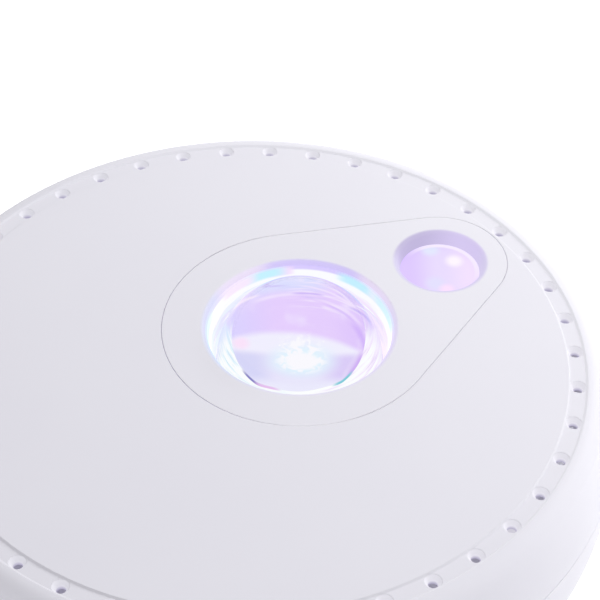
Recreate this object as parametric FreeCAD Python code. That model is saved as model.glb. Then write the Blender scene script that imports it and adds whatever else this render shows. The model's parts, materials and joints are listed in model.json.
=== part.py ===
# Round tabletop star projector: a pebble-shaped head, face up, that tilts forward on a weighted foot.
# Lengths are millimetres and angles are degrees. +Z is up, the table is z = 0, and the head's round face
# is centred on the Z axis. The hinge of the foot is at the front, towards -Y.

import FreeCAD, Part

import math
import os

# Outline of the head
body_radius = 78.0
head_depth = 53.4
shoulder_width = 7.4
shoulder_drop = 14.0
bowl_round = 32.0
bowl_gap = 0.6
wall = 2.4
seam_gap = 0.3
oval_tightness_share = 0.8
even_share = 0.000001
lip_depth = 3.0
lip_root = 6.0
lip_wall = 1.2

# Clearances
running_clearance = 0.06
fit_clearance = 0.1
thread_clearance = 0.05
loose_clearance = 0.3
cut_overrun = 4.0

# Ring of vents in the face
vent_count = 42
vent_phase = 1.33
vent_circle_inset = 9.5
vent_bore_radius = 1.0
vent_mouth_radius = 1.7
vent_mouth_depth = 0.9
channel_width = 3.9
channel_depth = 0.35
channel_run = 0.35

# Teardrop panel round the lens opening and the small laser opening
panel_thickness = 1.2
panel_seam = 0.2
panel_big_radius = 29.4
panel_small_radius = 14.8
panel_rim_land = 0.5
panel_ledge = 1.6
optics_direction = 33.6
laser_direction = 35.35
lens_opening_radius = 20.9
lens_opening_round = 0.8
laser_opening_radius = 10.4
laser_opening_round = 1.1
laser_opening_depth = 3.0
laser_floor_radius = 8.8
hook_width = 5.0
hook_leg = 1.0
hook_catch = 0.7
hook_barb = 1.2
hook_clearance = 0.2
hook_directions = (95.0, 178.0, 228.0, 300.0)

# Dome lens and what holds it
dome_radius = 17.9
dome_centre_depth = 10.1
lens_flange_radius = 20.2
lens_flange_thickness = 2.0
collar_mouth_inset = 0.4
barrel_wall = 1.4
ripple_plate_radius = 18.9
ripple_plate_thickness = 1.6
ripple_ledge = 1.5

# Gear train that turns the two optical wheels
gear_module = 0.8
nebula_teeth = 60
grating_teeth = 33
pinion_teeth = 14
pressure_angle = 20.0
tooth_addendum = 0.66
tooth_dedendum = 0.88
tooth_backlash = 0.16
gear_width = 4.0
wheel_lift = 0.2
nebula_disc_thickness = 1.6
grating_disc_thickness = 1.0
disc_rim_wall = 1.2

# Chassis plate, its collars, legs and sockets
chassis_thickness = 2.0
collar_height = 3.4
collar_thickness = 1.7
nebula_collar_radius = 18.9
grating_collar_radius = 8.9
leg_radius = 3.5
leg_gap = 0.5
leg_directions = (130.0, 260.0, 340.0)
laser_leg_direction = -36.4
grating_margin = 0.6
bridge_clearance = 0.6
bridge_thickness = 2.0
bridge_hub_radius = 23.0
bridge_laser_radius = 12.5
chimney_wall = 1.2
chimney_bore_radius = 7.8
window_radius = 9.7
window_thickness = 1.6

# Light source under the lens
heat_sink_gap = 0.5
heat_sink_thickness = 2.6
heat_sink_radius = 20.0
fin_count = 9
fin_thickness = 1.2
fin_depth = 4.4
heat_sink_post_circle = 24.0
heat_sink_post_radius = 3.0
heat_sink_post_length = 11.0
heat_sink_post_directions = (80.0, 300.0)
led_board_radius = 13.0
led_board_thickness = 1.6
led_size = 3.0
led_pitch = 3.6
led_thickness = 0.7
led_rows = 2
collimator_base_radius = 7.2
collimator_neck_inset = 1.0
collimator_rim = 1.6
collimator_sink = 0.4
collimator_hollow_radius = 5.4
collimator_hollow_depth = 3.2

# Laser unit
laser_barrel_radius = 6.0
laser_barrel_length = 13.0
laser_socket_wall = 1.8
laser_socket_length = 9.0
laser_exit_radius = 2.2
laser_recess_depth = 1.2
driver_board_width = 8.0
driver_board_length = 16.0
driver_board_lead = 4.0
driver_board_thickness = 1.4

# Gear motor
motor_radius = 12.0
motor_height = 9.0
motor_ear_thickness = 1.0
motor_ear_radius = 3.4
motor_ear_circle = 15.6
motor_plate_margin = 0.6
motor_nose_radius = 3.6
motor_nose_height = 1.5
motor_shaft_radius = 1.5
motor_shaft_sink = 4.0
motor_boss_radius = 2.4
motor_boss_height = 3.6

# Screws
screw_radius = 1.45
screw_head_radius = 2.7
screw_head_height = 1.8
screw_recess_width = 0.9
screw_recess_depth = 1.0
screw_recess_reach = 1.5
small_screw_radius = 1.1
small_screw_head_radius = 2.0
small_screw_head_height = 1.3
optics_screw_length = 19.0
shell_screw_length = 15.0
motor_screw_length = 5.6
sink_screw_length = 6.6
board_screw_length = 4.6
foot_screw_length = 5.4

# Screw wells that join the two shells
well_wall = 1.4
well_circle_inset = 16.0
well_directions = (60.0, 150.0, 210.0, 330.0)
well_floor_drop = 9.0
well_floor_thickness = 1.6
cover_post_radius = 4.0

# Intake slots low on the two sides of the head
slot_count = 7
slot_pitch = 5.0
slot_width = 2.2
slot_rise = 7.4
slot_length = 13.0
slot_reach = 24.0
slot_sides = (0.0, 180.0)

# Push buttons on the rear, behind a racetrack plate
control_direction = 112.0
control_rise = 17.4
control_sink = 2.2
control_plate_thickness = 2.0
control_half_width = 6.6
control_ledge = 1.6
control_floor = 1.6
control_wall = 1.8
button_pitch = 11.5
button_radius = 3.6
button_proud = 1.6
button_edge_round = 0.6
button_flange = 0.6
button_flange_thickness = 0.8
button_rest_gap = 0.05
button_clearance = 0.3
button_travel = 0.6
stem_radius = 1.6
stem_entry = 0.8
switch_size = 6.0
switch_height = 3.1
switch_well_margin = 0.4
button_board_thickness = 1.6
peg_step = 0.5

# Power socket on the rear
inlet_way_share = 0.385
inlet_rise = 17.4
inlet_sink = 0.8
inlet_wall = 2.4
inlet_pad_radius = 8.0
inlet_recess_margin = 0.7
inlet_nut_radius = 5.8
inlet_nut_thickness = 1.6
inlet_nose_radius = 4.2
inlet_nose_proud = 0.3
inlet_bore_radius = 2.9
inlet_bore_depth = 9.5
inlet_pin_radius = 1.05
inlet_pin_step = 1.0
inlet_body_size = 9.0
inlet_body_length = 11.0

# Main circuit board behind the optics
board_post_height = 4.0
board_thickness = 1.6
board_wall_gap = 4.8
board_front_gap = 1.3
board_left_gap = 2.0
board_right_gap = 4.6
board_post_radius = 2.8
board_post_inset = 5.0
board_post_directions = (73.0, 119.5)
front_post_inset = 3.8
front_post_share = 0.48
chip_size = 7.0
chip_thickness = 1.4
chip_inset = 7.0
chip_direction = 95.0
small_chip_width = 5.0
small_chip_depth = 6.0
small_chip_inset = 5.0
small_chip_share = 0.86
driver_chip_size = 2.6
driver_chip_reach = 8.0
capacitor_radius = 3.2
capacitor_height = 8.0
capacitor_inset = 6.0
capacitor_directions = (82.0, 107.0)
connector_length = 7.6
connector_depth = 4.6
connector_height = 5.2
connector_wall = 0.8
connector_floor = 1.2
connector_inset = 2.6
connector_share = (0.145, 0.32, 0.64)

# Leads between the boards, the motor, the light sources and the socket
lead_radius = 0.7
lead_bend = 3.4
end_run_share = 0.9
inner_run_share = 0.45
lead_rise = 4.0
plug_proud = 0.6
motor_lead_direction = 160.0
motor_lead_run = 9.0
led_lead_direction = 100.0
led_lead_inset = 1.0
led_lead_run = 5.5
led_lead_drop = 2.9
laser_lead_reach = 11.0
laser_lead_circle = 31.0
laser_lead_direction = 69.0
wall_lead_run = 5.0
wall_lead_drop = 12.4
socket_lead_inset = 4.8
socket_lead_direction = 88.2
button_lead_inset = 6.0
button_lead_direction = 113.5

# Weighted foot
foot_inset = 28.0
foot_top_height = 12.0
foot_skirt_height = 2.0
foot_edge_round = 2.0
foot_plate_thickness = 2.6
ballast_side_gap = 0.6
ballast_roof_gap = 0.4
hub_radius = 5.0
pad_radius = 6.0
pad_thickness = 2.6
pad_inset = 9.0
pad_directions = (60.0, 120.0, 240.0, 300.0)
foot_screw_inset = 8.0
foot_screw_directions = (0.0, 90.0, 180.0, 270.0)
foot_boss_radius = 3.6
bumper_radius = 3.0
bumper_sink = 1.0
bumper_inset = 12.0
bumper_directions = (90.0, 210.0, 330.0)
bumper_gap = 0.2

# Tilt hinge at the front of the foot
hinge_reach = 4.0
hinge_rise = 7.5
hinge_arm_x = 13.0
hinge_arm_width = 6.0
hinge_arm_radius = 4.4
hinge_root_inset = 1.5
hinge_root_drop = 3.8
hinge_root_radius = 3.4
hinge_pin_radius = 1.5
hinge_pin_inset = 0.3
hinge_side_gap = 0.6
hinge_washer_thickness = 0.5
hinge_washer_radius = 3.6
hinge_slot_clearance = 0.6
hinge_block_wall = 3.5
hinge_block_skin = 1.4
hinge_block_front = 12.0
hinge_block_rear = 9.4
tilt_limit = 60.0
tilt_steps = 4

# Worked out from the sizes above
bowl_bottom_height = foot_top_height + bowl_gap
bowl_floor = bowl_bottom_height + wall
face_height = bowl_bottom_height + head_depth
girth_height = face_height - shoulder_drop
bowl_flat_radius = body_radius - bowl_round
bowl_round_height = bowl_bottom_height + bowl_round
face_edge_radius = body_radius - shoulder_width
face_underside = face_height - wall
vent_circle = body_radius - vent_circle_inset
channel_inner = vent_circle - channel_width / 2
channel_floor = face_height - channel_depth
wheel_spacing = gear_module * (nebula_teeth + grating_teeth) / 2
motor_spacing = gear_module * (nebula_teeth + pinion_teeth) / 2
nebula_tip_radius = gear_module * nebula_teeth / 2 + tooth_addendum
grating_tip_radius = gear_module * grating_teeth / 2 + tooth_addendum
nebula_root_radius = gear_module * nebula_teeth / 2 - tooth_dedendum
grating_root_radius = gear_module * grating_teeth / 2 - tooth_dedendum
leg_circle = nebula_tip_radius + leg_gap + leg_radius
laser_leg_circle = grating_tip_radius + leg_gap + leg_radius
heat_sink_height = bowl_floor + heat_sink_gap + fin_depth
heat_sink_top = heat_sink_height + heat_sink_thickness
led_board_top = heat_sink_top + led_board_thickness
chassis_height = heat_sink_top + heat_sink_post_length
lens_base_height = face_height - dome_centre_depth
lens_underside = lens_base_height - lens_flange_thickness
panel_underside = face_height - panel_thickness
barrel_radius = lens_flange_radius + fit_clearance + barrel_wall
chassis_top = chassis_height + chassis_thickness
gear_bottom = chassis_top + wheel_lift
gear_top = gear_bottom + gear_width
bridge_height = gear_top + max(nebula_disc_thickness, grating_disc_thickness) + bridge_clearance
bridge_top = bridge_height + bridge_thickness
window_top = face_height - laser_opening_depth
chimney_radius = window_radius + fit_clearance + chimney_wall
well_radius = screw_head_radius + loose_clearance + well_wall
well_circle = body_radius - well_circle_inset
well_floor_height = girth_height - well_floor_drop
slot_bottom_height = bowl_bottom_height + slot_rise
slot_top_height = slot_bottom_height + slot_length
control_height = bowl_bottom_height + control_rise
inlet_height = bowl_bottom_height + inlet_rise
inlet_direction = well_directions[0] + (control_direction - well_directions[0]) * inlet_way_share
button_back = control_plate_thickness + button_rest_gap + button_flange_thickness
switch_top = button_back + button_travel + loose_clearance
button_board_top = switch_top + switch_height
post_radius = button_pitch / 2 - button_radius - button_flange - loose_clearance
plate_underside = foot_skirt_height
plate_top = plate_underside + foot_plate_thickness
foot_roof = foot_top_height - wall
foot_radius = body_radius - foot_inset
foot_screw_circle = foot_radius - foot_screw_inset
pad_circle = foot_radius - pad_inset
bumper_circle = foot_radius - bumper_inset
ballast_radius = foot_screw_circle - foot_boss_radius - ballast_side_gap
ballast_top = foot_roof - ballast_roof_gap
hinge_y = -foot_radius - hinge_reach
hinge_height = foot_top_height + hinge_rise
hinge_axis = (hinge_y, hinge_height)
hinge_root = (hinge_root_inset - foot_radius, foot_top_height - hinge_root_drop)
board_bottom = bowl_floor + board_post_height
board_top = board_bottom + board_thickness
driver_board_top = chassis_height - laser_barrel_length
connector_cavity = (connector_length - connector_wall * 2, connector_depth - connector_wall * 2)
plug_size = [side - fit_clearance * 2 for side in connector_cavity]
plug_top = board_top + connector_height + plug_proud
lead_level = plug_top + lead_rise


def vector(x, y, z):
    """A point or a direction."""
    return FreeCAD.Vector(x, y, z)


def polar(distance, direction, centre=(0.0, 0.0)):
    """The point at a distance and direction from a centre, seen from above."""
    angle = math.radians(direction)
    return (centre[0] + distance * math.cos(angle), centre[1] + distance * math.sin(angle))


laser_distance = channel_inner - panel_rim_land - panel_small_radius
laser_xy = polar(laser_distance, laser_direction)
lens_xy = polar(-wheel_spacing, optics_direction, laser_xy)
motor_xy = polar(-motor_spacing, optics_direction, lens_xy)
leg_places = [polar(leg_circle, direction, lens_xy) for direction in leg_directions]
leg_places.append(polar(laser_leg_circle, laser_leg_direction, laser_xy))
well_places = [polar(well_circle, direction) for direction in well_directions]

# Edges of the main board, behind the heat sink and inside the bowl
sink_tab = polar(heat_sink_post_circle, heat_sink_post_directions[0], lens_xy)
bowl_inside_at_board = math.sqrt((bowl_round - wall) ** 2 - (bowl_round_height - board_bottom) ** 2)
board_radius = bowl_flat_radius + bowl_inside_at_board - board_wall_gap
board_front = sink_tab[1] + heat_sink_post_radius + board_front_gap
board_left = board_left_gap - math.sqrt(board_radius ** 2 - board_front ** 2)
board_right = well_places[0][0] - well_radius - board_right_gap


# Solids that the sub-parts are built from

def cylinder(radius, bottom, top, centre=(0.0, 0.0)):
    """An upright cylinder between two heights."""
    return Part.makeCylinder(radius, top - bottom, vector(centre[0], centre[1], bottom))


def tube(radius, bore, bottom, top, centre=(0.0, 0.0)):
    """An upright tube between two heights."""
    hole = cylinder(bore, bottom - cut_overrun, top + cut_overrun, centre)
    return cylinder(radius, bottom, top, centre).cut(hole)


def block(width, depth, bottom, top, centre=(0.0, 0.0)):
    """An upright box about a centre."""
    corner = vector(centre[0] - width / 2, centre[1] - depth / 2, bottom)
    return Part.makeBox(width, depth, top - bottom, corner)


def band(first, first_radius, second, second_radius, bottom, top):
    """The outline of a belt round two circles, raised between two heights."""
    run = math.dist(first, second)
    way = math.degrees(math.atan2(second[1] - first[1], second[0] - first[0]))
    lean = math.degrees(math.acos((first_radius - second_radius) / run))
    starts = [polar(first_radius, way + side * lean, first) for side in (-1, 1)]
    ends = [polar(second_radius, way + side * lean, second) for side in (-1, 1)]
    tips = (polar(-first_radius, way, first), polar(second_radius, way, second))
    low_start, high_start, low_end, high_end, back, nose = [
        vector(x, y, bottom) for x, y in (*starts, *ends, *tips)
    ]
    edges = [
        Part.makeLine(low_start, low_end),
        Part.Arc(low_end, nose, high_end).toShape(),
        Part.makeLine(high_end, high_start),
        Part.Arc(high_start, back, low_start).toShape(),
    ]
    return Part.Face(Part.Wire(edges)).extrude(vector(0, 0, top - bottom))


def crosswise(shape):
    """A shape drawn in (y, z) and raised along x, put in its place."""
    shape.Placement = FreeCAD.Placement(vector(0, 0, 0), FreeCAD.Rotation(vector(1, 1, 1), 120))
    return shape


def line(start, end):
    """A straight edge between two (radius, height) points."""
    return Part.makeLine(vector(start[0], 0, start[1]), vector(end[0], 0, end[1]))


def oval(start, corner, end):
    """Two circles that round a corner like a quarter of an oval, and the point where they meet."""
    leave = (corner[0] - start[0], corner[1] - start[1])
    arrive = (end[0] - corner[0], end[1] - corner[1])
    sides = (math.hypot(*leave), math.hypot(*arrive))
    long_side, short_side = max(sides), min(sides)
    even = math.isclose(*sides, rel_tol=even_share)
    tight = short_side - oval_tightness_share * short_side * (1 - short_side / long_side)
    wide = tight
    if not even:
        wide = ((long_side - tight) ** 2 + short_side ** 2 - tight ** 2) / (short_side - tight) / 2
    first, last = (tight, wide) if sides[0] < sides[1] else (wide, tight)
    first_share, last_share = first / sides[1], last / sides[0]
    first_centre = (start[0] + arrive[0] * first_share, start[1] + arrive[1] * first_share)
    last_centre = (end[0] - leave[0] * last_share, end[1] - leave[1] * last_share)
    small, large = (first_centre, last_centre) if first < last else (last_centre, first_centre)
    if even:
        small, large = corner, first_centre
    heading = math.degrees(math.atan2(small[1] - large[1], small[0] - large[0]))
    return (first_centre, first), (last_centre, last), polar(first, heading, first_centre)


def arc(circle, start, end):
    """The short arc of a circle between two (radius, height) points on it."""
    centre, radius = circle
    sums = [(start[axis] + end[axis]) / 2 - centre[axis] for axis in (0, 1)]
    middle = [centre[axis] + sums[axis] * radius / math.hypot(*sums) for axis in (0, 1)]
    return Part.Arc(*[vector(point[0], 0, point[1]) for point in (start, middle, end)]).toShape()


def rounding(start, corner, end):
    """The edges that round a corner, as one arc where both sides are alike and else as two."""
    first, last, meeting = oval(start, corner, end)
    if math.isclose(first[1], last[1], rel_tol=even_share):
        return [arc(first, start, end)]
    return [arc(first, start, meeting), arc(last, meeting, end)]


def turned(edges, centre=(0.0, 0.0)):
    """A closed (radius, height) outline turned about an upright axis."""
    solid = Part.Face(Part.Wire(edges)).revolve(vector(0, 0, 0), vector(0, 0, 1), 360)
    solid.translate(vector(centre[0], centre[1], 0))
    return solid


def turned_polygon(points, centre=(0.0, 0.0)):
    """A closed outline of straight edges turned about an upright axis."""
    following = points[1:] + points[:1]
    return turned([line(start, end) for start, end in zip(points, following)], centre)


def joined(shapes):
    """The union of several solids."""
    return shapes[0].multiFuse(shapes[1:]).removeSplitter()


def rounded_mouth(radius, throat, floor_radius, floor, top, centre):
    """The space inside an opening whose upper edge is rounded."""
    neck = radius - throat
    below = floor - cut_overrun
    above = top + cut_overrun
    edges = [
        line((0, below), (floor_radius, below)),
        line((floor_radius, below), (floor_radius, floor)),
        line((floor_radius, floor), (neck, top - throat)),
        *rounding((neck, top - throat), (neck, top), (radius, top)),
        line((radius, top), (radius, above)),
        line((radius, above), (0, above)),
        line((0, above), (0, below)),
    ]
    return turned(edges, centre)


def make_screw(seat, length, shank_radius, head_radius, head_height, centre, way=1):
    """A pan-head screw whose shank leaves its seat upwards, or downwards where way is -1."""
    head = cylinder(head_radius, -head_height, 0)
    recess_top = screw_recess_depth - head_height
    recess_bottom = -head_height - cut_overrun
    for size in ((screw_recess_reach * 2, screw_recess_width), (screw_recess_width, screw_recess_reach * 2)):
        head = head.cut(block(*size, recess_bottom, recess_top))
    screw = head.fuse(cylinder(shank_radius, 0, length)).removeSplitter()
    if way < 0:
        screw.rotate(vector(0, 0, 0), vector(1, 0, 0), 180)
    screw.translate(vector(centre[0], centre[1], seat))
    return screw


def big_screw(seat, length, centre):
    """One of the screws that hold shells and optics."""
    return make_screw(seat, length, screw_radius, screw_head_radius, screw_head_height, centre)


def small_screw(seat, length, centre, way=1):
    """One of the screws that hold small parts."""
    sizes = (small_screw_radius, small_screw_head_radius, small_screw_head_height)
    return make_screw(seat, length, *sizes, centre, way)


# Head shells

def bowl_solid(inset):
    """The filled lower half of the head, shrunk by an inset."""
    bottom = bowl_bottom_height + inset
    side = body_radius - inset
    edges = [
        line((0, bottom), (bowl_flat_radius, bottom)),
        *rounding((bowl_flat_radius, bottom), (side, bottom), (side, bowl_round_height)),
        line((side, bowl_round_height), (side, girth_height)),
        line((side, girth_height), (0, girth_height)),
        line((0, girth_height), (0, bottom)),
    ]
    return turned(edges)


def dome_solid(inset):
    """The filled upper half of the head, shrunk by an inset."""
    top = face_height - inset
    side = body_radius - inset
    edges = [
        line((0, girth_height), (side, girth_height)),
        *rounding((side, girth_height), (side, top), (face_edge_radius, top)),
        line((face_edge_radius, top), (0, top)),
        line((0, top), (0, girth_height)),
    ]
    return turned(edges)


def wall_point(height):
    """The radius of the bowl's outside at a height, and how far its outward direction dips."""
    drop = max(0, bowl_round_height - height)
    dip = math.asin(drop / bowl_round)
    return bowl_flat_radius + bowl_round * math.cos(dip), dip


def wall_frame(direction, height, sink):
    """A frame on the bowl's wall whose Z points straight out, with its origin sunk below the surface."""
    radius, dip = wall_point(height)
    angle = math.radians(direction)
    outward = vector(math.cos(dip) * math.cos(angle), math.cos(dip) * math.sin(angle), -math.sin(dip))
    sideways = vector(-math.sin(angle), math.cos(angle), 0)
    origin = vector(radius * math.cos(angle), radius * math.sin(angle), height) - outward * sink
    rotation = FreeCAD.Rotation(sideways, outward.cross(sideways), outward, "ZXY")
    return FreeCAD.Placement(origin, rotation)


def on_wall(shape, frame):
    """A shape drawn about a wall frame, put in its place."""
    shape.Placement = frame.multiply(shape.Placement)
    return shape


control_frame = wall_frame(control_direction, control_height, control_sink)
inlet_frame = wall_frame(inlet_direction, inlet_height, inlet_sink)


def racetrack(half_width, bottom, top):
    """The rounded outline that goes round the row of buttons."""
    return band((-button_pitch, 0), half_width, (button_pitch, 0), half_width, bottom, top)


def panel_prism(inset, bottom, top):
    """The teardrop outline of the lens panel, drawn in by an inset."""
    radii = (panel_big_radius - inset, panel_small_radius - inset)
    return band(lens_xy, radii[0], laser_xy, radii[1], bottom, top)


def vent_cutters():
    """One countersunk vent for each place round the channel."""
    under = face_underside - cut_overrun
    points = [
        (0, under),
        (vent_bore_radius, under),
        (vent_bore_radius, channel_floor - vent_mouth_depth),
        (vent_mouth_radius, channel_floor),
        (vent_mouth_radius, face_height),
        (0, face_height),
    ]
    step = 360 / vent_count
    places = [polar(vent_circle, vent_phase + step * index) for index in range(vent_count)]
    return [turned_polygon(points, place) for place in places]


def channel_cutter():
    """The shallow ring that the vents lie in."""
    outer = channel_inner + channel_width
    points = [
        (channel_inner, face_height),
        (channel_inner + channel_run, channel_floor),
        (outer - channel_run, channel_floor),
        (outer, face_height),
        (outer, face_height + cut_overrun),
        (channel_inner, face_height + cut_overrun),
    ]
    return turned_polygon(points)


def make_top_cover():
    """The cap, with its vents, the seat of the lens panel, the screw posts and the locating lip."""
    lip_radius = body_radius - wall - fit_clearance
    lip = tube(lip_radius, lip_radius - lip_wall, girth_height - lip_depth, girth_height + lip_root)
    post_top = face_underside + wall / 2
    posts = [cylinder(cover_post_radius, well_floor_height, post_top, place) for place in well_places]
    bosses = [cylinder(leg_radius, bridge_top, post_top, place) for place in leg_places]
    cover = dome_solid(0).cut(dome_solid(wall))
    cover = joined([cover, lip.common(dome_solid(0).fuse(cylinder(body_radius, 0, girth_height)))])
    cover = joined([cover, *posts, *bosses])
    pilot = screw_radius + thread_clearance
    shell_tip = well_floor_height - well_floor_thickness + shell_screw_length + loose_clearance
    optics_tip = chassis_height + optics_screw_length + loose_clearance
    cutters = [channel_cutter(), *vent_cutters()]
    cutters += [cylinder(pilot, well_floor_height - cut_overrun, shell_tip, place) for place in well_places]
    cutters += [cylinder(pilot, bridge_top - cut_overrun, optics_tip, place) for place in leg_places]
    cutters.append(panel_prism(0, panel_underside, face_height + cut_overrun))
    cutters.append(panel_prism(panel_ledge, face_underside, face_height + cut_overrun))
    return cover.cut(cutters)


def panel_hooks():
    """The snap hooks that catch under the ledge of the cover."""
    outer = panel_big_radius - panel_ledge - hook_clearance
    catch_top = face_underside - thread_clearance
    hooks = []
    for direction in hook_directions:
        leg_centre = (outer - hook_leg / 2, 0)
        barb_width = hook_leg + hook_catch
        barb_centre = (outer - hook_leg + barb_width / 2, 0)
        bottom = catch_top - hook_barb
        leg = block(hook_leg, hook_width, bottom, panel_underside + panel_thickness / 2, leg_centre)
        barb = block(barb_width, hook_width, bottom, catch_top, barb_centre)
        hook = leg.fuse(barb)
        hook.rotate(vector(0, 0, 0), vector(0, 0, 1), direction)
        hook.translate(vector(lens_xy[0], lens_xy[1], 0))
        hooks.append(hook)
    return hooks


def make_lens_panel():
    """The teardrop panel with its two openings, the funnel over the laser and the snap hooks."""
    funnel = cylinder(laser_floor_radius + panel_thickness, window_top, panel_underside, laser_xy)
    plate = panel_prism(panel_seam, panel_underside, face_height)
    panel = joined([plate, funnel, *panel_hooks()])
    lens_neck = lens_opening_radius - lens_opening_round
    lens_mouth = rounded_mouth(
        lens_opening_radius, lens_opening_round, lens_neck, panel_underside, face_height, lens_xy
    )
    laser_mouth = rounded_mouth(
        laser_opening_radius, laser_opening_round, laser_floor_radius, window_top, face_height, laser_xy
    )
    return panel.cut([lens_mouth, laser_mouth])


def well_cutters():
    """The screw wells' insides, from the outside of the bowl up to their floors."""
    seat = well_floor_height - well_floor_thickness
    bore = screw_head_radius + loose_clearance
    cutters = [cylinder(bore, 0, seat, place) for place in well_places]
    hole = screw_radius + fit_clearance
    return cutters + [cylinder(hole, 0, girth_height, place) for place in well_places]


def slot_cutters():
    """The intake slots, in a row on each side."""
    bottom = slot_bottom_height + slot_width / 2
    top = slot_top_height - slot_width / 2
    cutters = []
    for side in slot_sides:
        for index in range(slot_count):
            offset = (index - (slot_count - 1) / 2) * slot_pitch
            reach = (body_radius - slot_reach, body_radius + cut_overrun)
            slot = crosswise(band((offset, bottom), slot_width / 2, (offset, top), slot_width / 2, *reach))
            slot.rotate(vector(0, 0, 0), vector(0, 0, 1), side)
            cutters.append(slot)
    return cutters


def front_place(share, inset):
    """A place at a share of the main board's width, set back from its front edge."""
    return (board_left + (board_right - board_left) * share, board_front + inset)


def rear_place(inset, direction):
    """A place in a direction, set in from the main board's round edge."""
    return polar(board_radius - inset, direction)


def board_post_places():
    """The places of the posts under the main board."""
    rear = [rear_place(board_post_inset, direction) for direction in board_post_directions]
    return [*rear, front_place(front_post_share, front_post_inset)]


def hinge_block(side):
    """The thick part of the bowl that holds a hinge pin."""
    half = hinge_arm_width / 2 + hinge_side_gap + hinge_block_wall
    top = hinge_height + hinge_arm_radius + hinge_slot_clearance + hinge_block_skin
    depth = hinge_block_front + hinge_block_rear
    middle = hinge_y + (hinge_block_rear - hinge_block_front) / 2
    return block(half * 2, depth, 0, top, (side * hinge_arm_x, middle))


def hinge_slot(side):
    """The space that an arm of the foot needs while the head tilts."""
    half = hinge_arm_width / 2 + hinge_side_gap
    reach = (side * hinge_arm_x - half, side * hinge_arm_x + half)
    axis_radius = hinge_arm_radius + hinge_slot_clearance
    slots = []
    for step in range(tilt_steps + 1):
        slot = crosswise(band(hinge_axis, axis_radius, hinge_root, axis_radius, *reach))
        turn = -tilt_limit * step / tilt_steps
        slot.rotate(vector(0, hinge_y, hinge_height), vector(1, 0, 0), turn)
        slots.append(slot)
    return joined(slots)


def hinge_bore(side):
    """The bore for a hinge pin through its block."""
    half = hinge_arm_width / 2 + hinge_side_gap + hinge_block_wall + cut_overrun / 2
    reach = (side * hinge_arm_x - half, side * hinge_arm_x + half)
    return crosswise(cylinder(hinge_pin_radius, *reach, hinge_axis))


def bowl_additions():
    """Everything that stands up inside the bowl, cut to its outside."""
    wells = [cylinder(well_radius, 0, well_floor_height, place) for place in well_places]
    posts = [cylinder(board_post_radius, 0, board_bottom, place) for place in board_post_places()]
    blocks = [hinge_block(side) for side in (-1, 1)]
    control_depth = control_plate_thickness + control_floor
    control_top = control_sink + cut_overrun
    control = racetrack(control_half_width + control_wall, -control_depth, control_top)
    inlet = cylinder(inlet_pad_radius, -inlet_wall, inlet_sink + cut_overrun)
    pads = [on_wall(control, control_frame), on_wall(inlet, inlet_frame)]
    inside = bowl_solid(0)
    return [shape.common(inside) for shape in (*wells, *posts, *blocks, *pads)]


def wall_cutters():
    """The pockets and holes of the controls and of the power socket."""
    control_bottom = -control_plate_thickness - control_floor - cut_overrun
    above = control_sink + cut_overrun
    pocket = racetrack(control_half_width, -control_plate_thickness, above)
    window = racetrack(control_half_width - control_ledge, control_bottom, above)
    recess = cylinder(inlet_nut_radius + inlet_recess_margin, 0, inlet_sink + cut_overrun)
    hole = cylinder(inlet_nose_radius + fit_clearance, -inlet_wall - cut_overrun, inlet_sink)
    on_control = [on_wall(shape, control_frame) for shape in (pocket, window)]
    return on_control + [on_wall(shape, inlet_frame) for shape in (recess, hole)]


def make_lower_shell():
    """The bowl, with its wells, posts, hinge blocks, intake slots, control pocket and socket seat."""
    shell = joined([bowl_solid(0).cut(bowl_solid(wall)), *bowl_additions()])
    cutters = [cylinder(body_radius + cut_overrun, girth_height - seam_gap, face_height)]
    cutters += [*well_cutters(), *slot_cutters(), *wall_cutters()]
    cutters += [hinge_slot(side) for side in (-1, 1)]
    cutters += [hinge_bore(side) for side in (-1, 1)]
    pilot = small_screw_radius + thread_clearance
    depth = board_top - board_screw_length - loose_clearance
    cutters += [cylinder(pilot, depth, girth_height, place) for place in board_post_places()]
    return shell.cut(cutters)


def make_shell_screws():
    """The screws that pull the cover down on the bowl."""
    seat = well_floor_height - well_floor_thickness
    return [big_screw(seat, shell_screw_length, place) for place in well_places]


# Optics

def make_projection_lens():
    """The clear dome with its flat seating flange."""
    top = lens_base_height + dome_radius
    edges = [
        line((0, lens_underside), (lens_flange_radius, lens_underside)),
        line((lens_flange_radius, lens_underside), (lens_flange_radius, lens_base_height)),
        line((lens_flange_radius, lens_base_height), (dome_radius, lens_base_height)),
        *rounding((dome_radius, lens_base_height), (dome_radius, top), (0, top)),
        line((0, top), (0, lens_underside)),
    ]
    return turned(edges, lens_xy)


def make_lens_collar():
    """The ring between the lens flange and the panel, wider at its mouth."""
    mouth = lens_opening_radius - lens_opening_round - collar_mouth_inset
    points = [
        (dome_radius + fit_clearance, lens_base_height),
        (barrel_radius, lens_base_height),
        (barrel_radius, panel_underside),
        (mouth, panel_underside),
    ]
    return turned_polygon(points, lens_xy)


def make_ripple_plate():
    """The still plate under the lens that breaks the light into waves."""
    bottom = lens_underside - ripple_plate_thickness
    return cylinder(ripple_plate_radius, bottom, lens_underside, lens_xy)


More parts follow.
